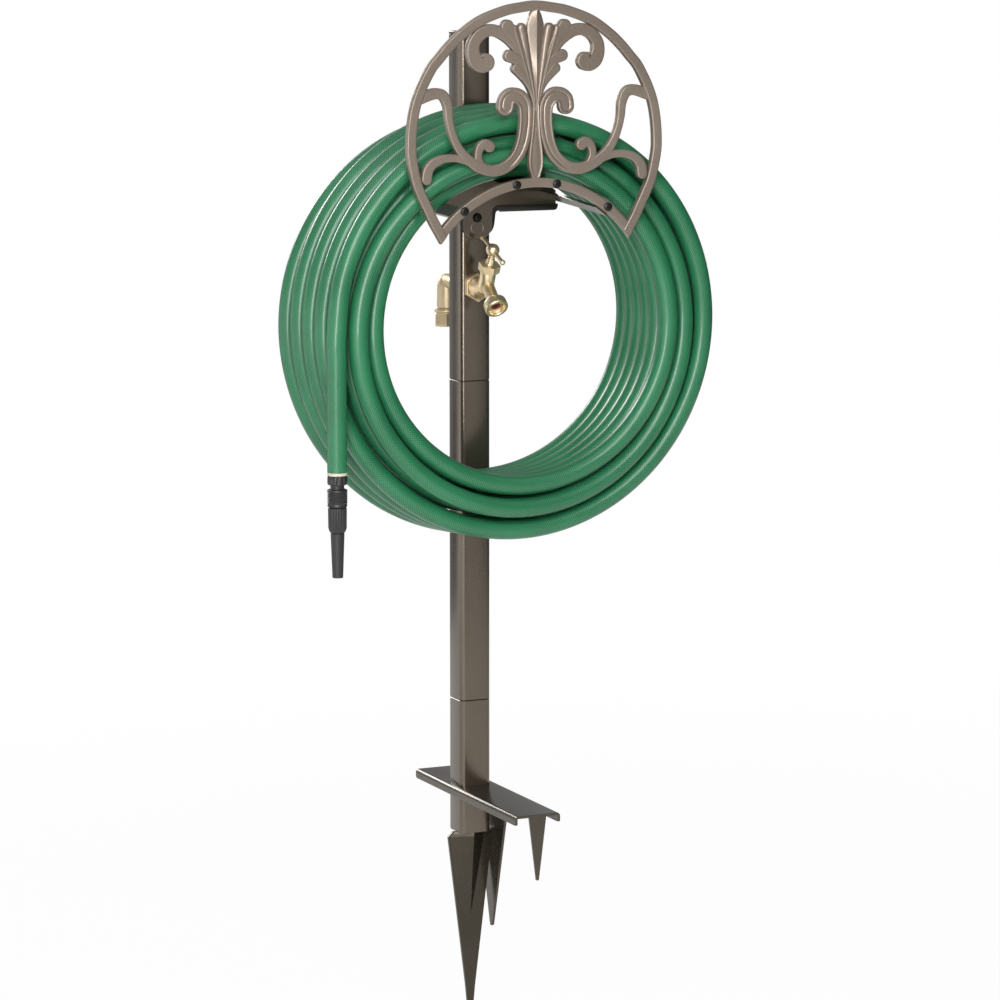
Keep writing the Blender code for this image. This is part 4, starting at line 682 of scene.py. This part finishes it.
def ring_path():
    """The middle line of the ring, half its width inside the outer edge, from foot to foot over the top."""
    right = np.array(RING_EDGE, float)
    edge = np.vstack([right[:0:-1] * (-1, 1), right])
    return edge - leftwards(directions(edge)) * RING_WIDTH / 2


def make_casting():
    """Ring, arch and drop across the middle; scrolls, curls and leaves on the right, mirrored to the left."""
    arch = arc((0, 0), ARCH_RADIUS, 90 - ARCH_REACH, 90 + ARCH_REACH, 60)
    whole = [
        cast_band(ring_path(), [RING_WIDTH], ends=(False, False), mitre=MITRE),
        cast_band(arch, [ARCH_WIDTH], drop=0.35, ends=(False, False)),
        cast_band(
            [(0, 155), (0, 190), (0, 236)],
            [11, 16, 17.8, 17.6, 16.4, 14.6, 12.8, 11.2, 10, 9.2, 8.6, 8.4, 8.4],
            HOLLOW, HOLLOW, drop=0.5, ends=(True, False)),
        cast_band(
            [(0, 226), (0, 280), (0, 341)],
            [7, 6, 6.4, 7.4, 9, 11, 13.4, 16.4, 18.8, 20.6, 20.4, 15, 5], RIDGED, RIDGED),
    ]
    volute = (PLAIN, GROOVED, 0.56, 0.66), (PLAIN, INNER_RIM, 0.56, 0.66)
    half = [
        cast_band(
            [(141, 241.5), (127, 246), (118, 246.9), (111, 243.4), (106.6, 233), (105, 217.4),
             (100.8, 201.4), (94.2, 187.4), (85, 176.2), (76, 169.2), (65, 163.6), (53, 160.9), (40, 163.1),
             (29, 170.0), (20.8, 179.4), (15.2, 193.4), (12.4, 209.4), (12, 224), (13.6, 233.5),
             (19.6, 241.2), (28.2, 243.2), (35.6, 238.6), (37.2, 230.8)],
            [13, 12.5, 12, 11, 9.6, 8.9, 8.8, 9.4, 10.4, 11.6, 12.6, 13, 13.2, 13.6, 14.2, 15, 15.6, 15.8,
             16, 16.4, 17.2, 18.2, 19], *volute, drop=0.7),
        cast_band(
            [(64, 163), (69.2, 172), (70, 180.4), (67, 187.6), (61.4, 190.4), (56.4, 187.6)],
            [10, 9.4, 9, 9.4, 10.6, 13], drop=0.82),
        cast_band(
            [(78, 169.5), (86, 172.6), (95, 175.2), (105, 176.0), (115, 174.6), (124.5, 170.2),
             (130.6, 162.4), (132.2, 153.2)],
            [8, 8.2, 8.5, 8.8, 9.4, 10.6, 12, 12.4], drop=0.9),
        cast_band(
            [(2.4, 236), (5.6, 254), (12.4, 275.5), (21.4, 291), (32, 304), (45, 313.2), (57, 315.2),
             (68, 310.6), (75.2, 301.2), (76.2, 290.6), (72.6, 282), (66, 278.4), (60.8, 280)],
            [4, 4.6, 5.6, 7, 8.4, 9.6, 11, 12.6, 13.4, 13.6, 14, 15.5, 18, 20.5], drop=0.62),
        cast_band(
            [(2.2, 234), (6, 258), (14, 282), (24, 303), (35, 319)],
            [4, 5, 6, 8, 11.5, 15.6], drop=0.56),
        cast_band(
            [(2, 233), (4, 240), (14.5, 279.4), (24, 309.4), (26, 317)],
            [4, 4.4, 5, 6.4, 8, 8], FLUTED, FLUTED, drop=0.25),
        cast_band(
            [(2, 234), (3.7, 249.4), (9.3, 279.4), (15, 309.4), (17, 317.4)],
            [4, 5.5, 8, 10, 11], FLUTED, FLUTED, drop=0.12),
        cast_band(
            [(2, 233), (5, 246), (13, 271), (21.5, 281.6), (32, 286.9)],
            [4, 5, 6, 8.5, 11.5, 13.6], drop=0.46),
        cast_band(
            [(2, 232), (3, 236), (5.5, 245.4), (9.5, 255.4), (16, 264.4), (24, 272.8)],
            [4, 4.6, 6, 8, 10, 11.4], drop=0.40),
    ]
    bands = [*whole, *half, *(mirrored(part) for part in half)]
    plate = make_piece("front_casting", bands, casting_paint, angle=30)
    stand_for(plate, "bronze_paint", "front_plate")


# Post, step plate and spike

CORNER_POINTS = 9


def rounded_square(half, corner):
    """A square's outline. The wider steps at the ends of each corner make its sides look faintly crowned."""
    turn = np.radians(np.concatenate([[0], np.linspace(15, 75, CORNER_POINTS - 2), [90]]))
    quarters = [np.stack([right * (half - corner) + corner * np.cos(turn + start),
                          up * (half - corner) + corner * np.sin(turn + start)], axis=1)
                for right, up, start in ((1, 1, 0), (-1, 1, pi / 2), (-1, -1, pi), (1, -1, 3 * pi / 2))]
    return np.concatenate(quarters)


POST_HALF, POST_WALL, POST_CORNER = 0.01905, 0.0016, 0.0065
SEAM_EDGE = 0.0006                    # rounding of each section's two rims
POST_LEVELS = 12                      # rows of points up a side
SOFT_EDGE = 0.0004                    # rounding of folded sheet and moulded tips


def square_tube(low, high, half, wall, corner, edge):
    """A square tube with rounded corners: rows run up the outside, over the rim, down the inside and back."""
    sides = [(z, half, corner) for z in np.linspace(low + edge, high - edge, POST_LEVELS)]
    first, last = ((z, half - edge, corner - edge / 2) for z in (low, high))
    inside = [(z, half - wall, corner - wall) for z in (high, low)]
    outlines = [(z, rounded_square(size, turn)) for z, size, turn in (first, *sides, last, *inside, first)]
    grid = np.stack([np.column_stack([outline, np.full(len(outline), z)]) for z, outline in outlines])
    return shell(grid, closed=True)


def make_post():
    """The stacked sections, each as tall as its solid."""
    for name in ("post_lower", "post_middle", "post_upper"):
        low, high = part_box(name)
        tube = square_tube(low[2], high[2], POST_HALF, POST_WALL, POST_CORNER, SEAM_EDGE)
        stand_for(make_piece(name + "_tube", [tube], post_paint), "bronze_paint", name)


def soften(piece, angle=30):
    """Rounds the edges of a piece that are sharper than the angle in degrees."""
    rim = piece.modifiers.new("Rounded edges", "BEVEL")
    rim.width, rim.segments, rim.limit_method, rim.angle_limit = SOFT_EDGE, 3, "ANGLE", radians(angle)
    rim.use_clamp_overlap = True
    return piece


def refined(node, finish, slot):
    """A copy of a CAD node's mesh, merged, with its sharp edges rounded."""
    source = frame["nodes"][node]
    mesh = source.data.copy()
    mesh.transform(source.matrix_world)
    work = bmesh.new()
    work.from_mesh(mesh)
    bmesh.ops.remove_doubles(work, verts=work.verts, dist=1e-6)
    bmesh.ops.dissolve_limit(work, angle_limit=radians(0.5), verts=work.verts, edges=work.edges)
    work.to_mesh(mesh)
    work.free()
    piece = soften(add_piece(node + "_fine", mesh, finish, "root", 30))
    return stand_for(piece, slot, node)


# Heights of the spike above the ground line, in millimetres
SPIKE_TOP, SPIKE_SHOULDER, SPIKE_KNEE, SPIKE_TIP = -54.3, -60.3, -243.0, -290.0
SPIKE_WIDTHS = (22.4, 28.4, 5.8, 1.45)                # half widths there
RIB_END, RIB_HEIGHT, RIB_RIGHT = -157.0, 11.0, 19.0   # its foot, and its height and right half at the top
SHEET_HALF = 1.75


def make_spike():
    """The pressed blade, in rows down it: its front with the rib, and its back with the same hollow.

    Its half width runs straight between the named heights, and the rib grows evenly from its foot.
    """
    shoulder = np.linspace(SPIKE_TOP, SPIKE_SHOULDER, 4)
    z = np.concatenate([shoulder, np.linspace(SPIKE_SHOULDER - 2, SPIKE_TIP, 60)])
    wide = np.interp(-z, (-SPIKE_TOP, -SPIKE_SHOULDER, -SPIKE_KNEE, -SPIKE_TIP), SPIKE_WIDTHS)
    share = np.clip((z - RIB_END) / (SPIKE_TOP - RIB_END), 0, 1)
    flat, rib = 0 * z, RIB_HEIGHT * share
    right, left = np.minimum(RIB_RIGHT * share, wide - 1.5), np.maximum(wide - 2.5, 0.3 * wide)
    across = np.stack([-wide, -left, flat, right, wide, wide, right, flat, -left, -wide], axis=1)
    depth = np.stack([flat, flat, rib, flat, flat, flat, flat, rib, flat, flat], axis=1)
    depth += SHEET_HALF * np.repeat([1, -1], 5)
    grid = MM * np.stack([across, -depth, np.broadcast_to(z[:, None], across.shape)], axis=2)
    blade = make_piece("spike_blade", [shell(grid, closed=True, caps=True)], spike_coat, angle=8)
    stand_for(soften(blade, 40), "brushed_steel", "main_spike")


# Faucet and inlet

HUB = np.array((0.0, -0.0655, 0.636))
STEM_WAY = np.array((0.0, -0.414693, 0.909961))
BAR_WAY = np.array((0.0, -0.909961, -0.414693))
MOUTH = np.array((0.0, -0.0777, 0.5694))
SPOUT_WAY = np.array((0.0, -0.748858, -0.662730))
FAUCET_Z = 0.590
POST_FACE = 0.01935                   # the nuts' seats in front of and behind the post's axis
WASHER_DEPTH = 0.0083                 # of the outlet washer in the mouth
BAR_RADIUS, BAR_REACH, BALL_RADIUS, BALL_REACH = 2.3, 31, 3.3, 29.25  # the tee handle, in millimetres
ELBOW_DEPTH, ELBOW_Z, COUPLING_Z = 0.064, 0.559, 0.537
COUPLING_TURN = radians(5.4)          # a corner of the nut faces the eye
GROOVES, GROOVE_STEP = 18, 0.62       # turned round the coupling
BALL_ROWS = 24


def spun(rows, origin, way, sides=0, ribs=0, turn=0.0, steps=72):
    """Rows of (radius, height, cut) in millimetres spun round an axis, the first and last at its middle.

    With sides, cut is the half width of a prism that the radius is held to: min(radius,
    cut / cos(angle from the nearest flat)). With ribs it is the depth of the flutes:
    radius - cut * (half of 1 - cos(ribs * angle)) squared. A cut of 0 leaves a round row.
    """
    way = np.array(way, float) / np.linalg.norm(way)
    side = np.cross(way, UP if abs(way[2]) < 0.9 else (1.0, 0.0, 0.0))
    side /= np.linalg.norm(side)
    other = np.cross(way, side)
    rows = np.array([(*row, 0.0)[:3] for row in rows], float)
    angle = np.linspace(0, 2 * pi, steps, endpoint=False)
    radius, height, cut = (rows[:, k, None] for k in range(3))
    if sides:
        sector = pi / sides
        flat = cut / np.cos(np.mod(angle + sector, 2 * sector) - sector)[None]
        reach = np.where(cut > 0, np.minimum(radius, flat), radius)
    else:
        reach = radius - cut * (0.5 - 0.5 * np.cos(ribs * angle)) ** 2
    ring = np.cos(angle + turn)[:, None] * side + np.sin(angle + turn)[:, None] * other
    place = reach[..., None] * ring + height[..., None] * way
    return shell(np.array(origin, float) + MM * place, closed=True)


def ball(radius, first, last):
    """Rows of a ball between two angles in degrees from its pole, as (radius, height)."""
    turn = np.radians(np.linspace(first, last, BALL_ROWS))
    return [(radius * sin(t), radius * cos(t)) for t in turn]


def spun_piece(name, rows, origin, way, finish, slot, node, body="root", angle=35, **cut):
    """A piece of one shell spun round an axis, which stands for a solid."""
    piece = make_piece(name, [spun(rows, origin, way, **cut)], finish, body, angle)
    return stand_for(piece, slot, node)


def make_faucet():
    """The casting, its nuts and the tee handle, each spun round its own axis."""
    neck = [(0, -55), (5.6, -54.6), (8.4, -52.8), (9.4, -49.5), (9.5, -46), (9.2, -38), (9.0, -28.6),
            (8.6, -27.9), (0, -27.9)]
    barrel = [(0, -0.6), (12.5, -0.6), (12.9, 0.4), (12.6, 1.8), (11.6, 3.6), (10.7, 6), (10.2, 9),
              (9.9, 14), (9.6, 17), (0, 17)]
    spout = [(0, -40), (6, -39.4), (7.7, -35), (7.6, -26), (7.5, -17), (7.9, -14.4), (9.4, -12.6),
             (11.6, -11.7), (13.0, -10.6), (13.5, -9), (13.5, -1.6), (13.3, -0.7), (12.8, -0.1), (12.2, 0),
             (10.6, 0), (10, -0.25), (9.6, -0.9), (9.5, -3.8), (9.2, -4.4), (8.6, -4.6), (6.0, -4.6),
             (5.7, -4.8), (5.7, -8.6), (0, -8.6)]
    body = make_piece("faucet_casting", [
        spun(neck, HUB, STEM_WAY), spun(barrel, (0, -POST_FACE - 0.0075, FAUCET_Z), FRONT),
        spun(spout, MOUTH, SPOUT_WAY)], pale_brass)
    stand_for(body, "pale_brass", "faucet_body")
    ring = [(2.5, 0.2), (2.7, 0), (5.3, 0), (5.6, 0.3), (5.6, 3.2), (5.3, 3.5), (2.7, 3.5), (2.5, 3.3),
            (2.5, 0.2)]
    spun_piece("outlet_washer_fine", ring, MOUTH - SPOUT_WAY * WASHER_DEPTH, SPOUT_WAY, red_rubber,
               "washer_rubber", "outlet_washer")

    low, half, top = -27.2, 11.0, -18.0
    bonnet = [(0, low), (12.0, low, half), (12.7, low + 0.6, half), (12.7, top - 0.6, half),
              (12.0, top - 0.1, half), (10.4, top), (6.4, top), (5.7, top + 0.4), (5.2, top + 1.4),
              (4.3, top + 7.6), (3.9, top + 8), (0, top + 8)]
    spun_piece("bonnet_fine", bonnet, HUB, STEM_WAY, pale_brass, "pale_brass", "bonnet_nut", angle=25,
               sides=6, turn=radians(30))
    half = 14.7
    lock = [(9.0, 0), (16.2, 0, half), (17, 0.7, half), (17, 6.7, half), (17, 7.3, half - 0.35),
            (17, 7.5, half - 0.9), (17, 7.45, half - 1.5), (17, 6.4, half - 1.9), (12.4, 6.2), (9.0, 6.2),
            (9.0, 0)]
    spun_piece("lock_nut_fine", lock, (0, -POST_FACE, FAUCET_Z), FRONT, pale_brass, "pale_brass",
               "faucet_lock_nut", angle=25, sides=6)

    hub = [(0, 6.1), (4.4, 6.1), (4.9, 5.9), *ball(7.8, 39, 146), (4.3, -7), (4.3, -9.0), (4.0, -9.2),
           (0, -9.2)]
    bar = [(0, -BAR_REACH), (BAR_RADIUS, -BAR_REACH), (BAR_RADIUS, BAR_REACH), (0, BAR_REACH)]
    end = ball(BALL_RADIUS, 0, 180)
    for name, rows, origin, way in (
            ("handle_hub", hub, HUB, STEM_WAY), ("handle_bar", bar, HUB, BAR_WAY),
            ("handle_ball_front", end, HUB + BAR_WAY * BALL_REACH * MM, BAR_WAY),
            ("handle_ball_back", end, HUB - BAR_WAY * BALL_REACH * MM, BAR_WAY)):
        spun_piece(name + "_fine", rows, origin, way, pale_brass, "pale_brass", name, "stem_turn")


def make_inlet():
    """The back nut, the elbow and its swivel nut with turned grooves, each spun round its own axis."""
    half = 13.0
    rows = [(8.5, 0), (13.4, 0, half), (15, 0.8, half), (15, 5.7, half), (13.4, 6.5, half), (8.5, 6.5),
            (8.5, 0)]
    spun_piece("back_nut_fine", rows, (0, POST_FACE, FAUCET_Z), BACK, dull_shaded_brass, "pale_brass",
               "inlet_back_nut", angle=25, sides=6)
    leg = [(0, -20), (8.6, -20), (8.6, 0), (0, 0)]
    dome = [(0, -7.3), (9.4, -7.3), (9.4, -1), (11.5, 0.2), (11.6, 4), (11.4, 24), (11.0, 27.5), (10.2, 31),
            (8.8, 34.2), (6.8, 36.9), (4.4, 38.6), (2.2, 39.4), (0, 39.6)]
    elbow = [spun(leg, (0, ELBOW_DEPTH, FAUCET_Z), BACK), spun(dome, (0, ELBOW_DEPTH, ELBOW_Z), UP)]
    stand_for(make_piece("elbow_fine", elbow, dull_shaded_brass), "pale_brass", "inlet_elbow")
    half = 13.4
    grooves = [(15.4 - 0.28 * (k % 2), 3.4 + GROOVE_STEP * k, half - 0.3 * (k % 2)) for k in range(GROOVES)]
    rows = [(10, 20), (10, 0), (12.3, 0), (13.6, 0.2, half), (15.2, 1.0, half), (15.4, 2.6, half), *grooves,
            (15.3, 14.6, half), (13.6, 15.4, half), (13.2, 15.9), (13.2, 16.4), (14.2, 16.9), (14.6, 17.9),
            (14.5, 19.2), (13.8, 19.9), (10, 20)]
    spun_piece("coupling_fine", rows, (0, ELBOW_DEPTH, COUPLING_Z), UP, dull_shaded_brass, "pale_brass",
               "inlet_coupling", "inlet_swivel", angle=25, sides=6, turn=COUPLING_TURN)


# Screws, saddle and nozzle

def head_place(node):
    """The front middle of a screw, and half its width and its depth in millimetres."""
    low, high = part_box(node)
    middle = (low + high) / 2
    return (middle[0], low[1], middle[2]), (high[0] - low[0]) / 2 / MM, (high[1] - low[1]) / MM


def make_screws():
    """Black button heads with a hexagonal socket, their shanks hidden in the plate."""
    for place in ("outer_left", "inner_left", "inner_right", "outer_right"):
        front, reach, depth = head_place("plate_screw_" + place)
        rows = [(0, -depth), (1.6, -depth), (1.6, -1.9), (reach, -1.9), (reach, -1.55),
                (0.86 * reach, -0.9), (0.62 * reach, -0.2), (0.52 * reach, 0),
                (0.5 * reach, 0, 0.4 * reach), (0.5 * reach, -1.3, 0.4 * reach), (0, -1.4)]
        spun_piece("screw_" + place, rows, front, FRONT, screw_black, "black_steel", "plate_screw_" + place,
                   sides=6)
    front, reach, depth = head_place("lug_bolt")
    rows = [(0, -depth), (3, -depth), (3, -4), (reach, -4), (reach, -3.5), (0.9 * reach, -1.9),
            (0.7 * reach, -0.6), (0.5 * reach, 0), (0.48 * reach, 0, 0.4 * reach),
            (0.48 * reach, -2.2, 0.4 * reach), (0, -2.4)]
    spun_piece("lug_bolt_fine", rows, front, FRONT, screw_black, "black_steel", "lug_bolt", sides=6)


SADDLE_FRONT = 0.02235                # of the back plate, in front of the post's axis
SADDLE_CREASE = 0.683                 # height of the back plate's bend
LUG_RADIUS, LUG_FILLET, LUG_Z, LUG_BOLT_Z = 0.019, 0.0085, 0.663, 0.6585
LIP_END, LIP_BEND, LIP_LAP, LIP_THICK, LIP_SPACING = 0.1025, 0.06, 0.0004, 0.0006, 0.0012


def strip(path, out, wide, section, thick):
    """A strip on the saddle's back plate: a section, as wide and as thick as said, carried along a path."""
    flat = path[:, None] + out[:, None] * wide[:, None, None] * section[None, :, :1]
    depth = -SADDLE_FRONT - np.broadcast_to(thick, len(path))[:, None] * section[None, :, 1]
    return shell(np.stack([flat[..., 0], depth, flat[..., 1]], axis=2), closed=True, caps=True)


def make_saddle_lip():
    """The turned-out edge under the saddle plate: along its crease, round the fillet and down the lug's side.

    Across it, a rounded strip whose width eases from the crease to nothing at the foot of the lug. Its
    near-black paint is painted shade.
    """
    edge = SADDLE_CREASE - LIP_LAP
    corner = arc((LUG_RADIUS + LUG_FILLET, SADDLE_CREASE - LUG_FILLET), LUG_FILLET, 90, 180, 10)
    foot = arc((0.0, LUG_Z), LUG_RADIUS, 0, -34, 7)
    path = resample(np.vstack([[(LIP_END, edge), (LIP_BEND, edge)], corner, foot]), LIP_SPACING)
    wide = np.interp(np.linspace(0, 1, len(path)), (0, 0.012, 0.03, 0.62, 0.78, 0.95, 1),
                     (0.0030, 0.0058, 0.0066, 0.0066, 0.0046, 0.0022, 0.0006))
    section = np.array([(-0.12, 0.0), (-0.12, 1.0), (0.0, 1.25), (0.5, 0.9), (0.9, 0.3), (1.0, -0.2),
                        (0.95, -0.6), (0.5, -0.4)])
    right = strip(path, leftwards(directions(path)), wide, section, LIP_THICK)
    lip = make_piece("saddle_lip", [right, mirrored(right)], lip_shade_paint)
    stand_for(lip, "bronze_paint", "saddle_back_plate")


def make_lug_ring():
    """The raised ring round the lug's bolt, and a rounded strip along the lug's edge. Both are real relief,
    but their paler casting paint is a painted highlight against the plate.
    """
    ring = [(6.8, -0.3), (6.8, 0.1), (7.1, 0.55), (7.6, 0.75), (8.1, 0.55), (8.4, 0.1), (8.4, -0.3),
            (6.8, -0.3)]
    rim = arc((0.0, LUG_Z), LUG_RADIUS, 186, 340, 40)
    wide = 0.0012 * np.sin(np.linspace(0.15, pi - 0.15, len(rim))) ** 0.4
    section = np.array([(0.1, 0.0), (0.05, 0.6), (-0.4, 0.9), (-0.9, 0.5), (-1.0, 0.0), (-0.5, -0.4)])
    edge = strip(rim, (rim - (0.0, LUG_Z)) / LUG_RADIUS, wide, section, wide)
    # The paler casting paint here is a painted highlight on the ring and the rim
    boss = make_piece("lug_ring", [spun(ring, (0, -SADDLE_FRONT, LUG_BOLT_Z), FRONT), edge], casting_paint)
    stand_for(boss, "bronze_paint", "saddle_back_plate")


NOZZLE_TOP = 0.4060                   # height of the cream ring's top
KNURL_STEP = 1.05                     # between two ridges of the nozzle's ring, in millimetres


def standing_size(node):
    """Half the width and the height of an upright solid in millimetres, and the place of its top."""
    low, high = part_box(node)
    return (high[0] - low[0]) / 2 / MM, (high[2] - low[2]) / MM, high[2]


def make_nozzle():
    """The cream ring and the nozzle's four parts."""
    x, y = HANG_X, -COIL_FRONT
    slot = "dark_plastic"
    rows = [(0, 0), (10.6, 0), (11.0, 0.3), (11.0, 3.2), (10.6, 3.5), (0, 3.5)]
    ring = spun_piece("cream_ring_fine", rows, (x, y, NOZZLE_TOP), DOWN, cream, "cream_plastic",
                      "hose_end_ring")
    rows = [(0, 3.8), (9.4, 3.8), (10.4, 4.2), (10.9, 5.0, 0.9), (11.0, 9.0, 1.6), (10.9, 12.6, 0.9),
            (10.2, 13.6), (7.8, 13.8), (7.6, 20), (7.6, 43), (0, 43)]
    collar = spun_piece("nozzle_collar_fine", rows, (x, y, NOZZLE_TOP), DOWN, dark_plastic, slot,
                        "nozzle_collar", angle=30, ribs=10)
    reach, tall, top = standing_size("nozzle_ring")
    knurls = int((tall - 4) / KNURL_STEP)
    rows = [(0, 0), (reach - 1.6, 0), (reach - 0.4, 0.7),
            *((reach - 0.1 - 0.8 * (k % 2), 2.2 + KNURL_STEP * k) for k in range(knurls)),
            (reach - 0.4, tall - 0.8), (reach - 1.6, tall), (0, tall)]
    grip = spun_piece("nozzle_ring_fine", rows, (x, y, top), DOWN, dark_plastic, slot, "nozzle_ring",
                      "nozzle_control", angle=30)
    reach, tall, top = standing_size("nozzle_body")
    rows = [(0, 0), (reach - 1.2, 0), (reach - 0.2, 0.8), (reach, 2.4, 0.8), (reach - 0.2, tall - 6, 0.9),
            (reach - 1.2, tall - 2.6, 0.5), (reach - 2.6, tall - 0.6), (reach - 3.4, tall), (0, tall)]
    body = spun_piece("nozzle_body_fine", rows, (x, y, top), DOWN, dark_plastic, slot, "nozzle_body",
                      angle=40, ribs=18, steps=180)
    return [ring, collar, grip, body, refined("nozzle_tip", dark_plastic, slot)]


# The stand's pieces

make_hose(make_nozzle())
make_casting()
make_post()
refined("step_plate", plate_coat, "brushed_steel")
make_spike()
make_faucet()
make_inlet()
make_screws()
make_saddle_lip()
make_lug_ring()
for name in ("saddle_back_plate", "saddle_centre_strap", "saddle_left_strap", "saddle_right_strap",
             "post_cap"):
    refined(name, post_paint, "bronze_paint")

# Finishes of the solids, by material slot

finishes = {
    "bronze_paint": post_paint, "brushed_steel": plate_coat, "black_steel": screw_black,
    "pale_brass": pale_brass, "washer_rubber": red_rubber, "green_hose": green_vinyl, "cream_plastic": cream,
    "dark_plastic": dark_plastic,
}
for row in frame["record"]["subparts"]:
    node = frame["nodes"][row["node"]]
    node.data.materials.clear()
    node.data.materials.append(finishes[row["material_slot"]])
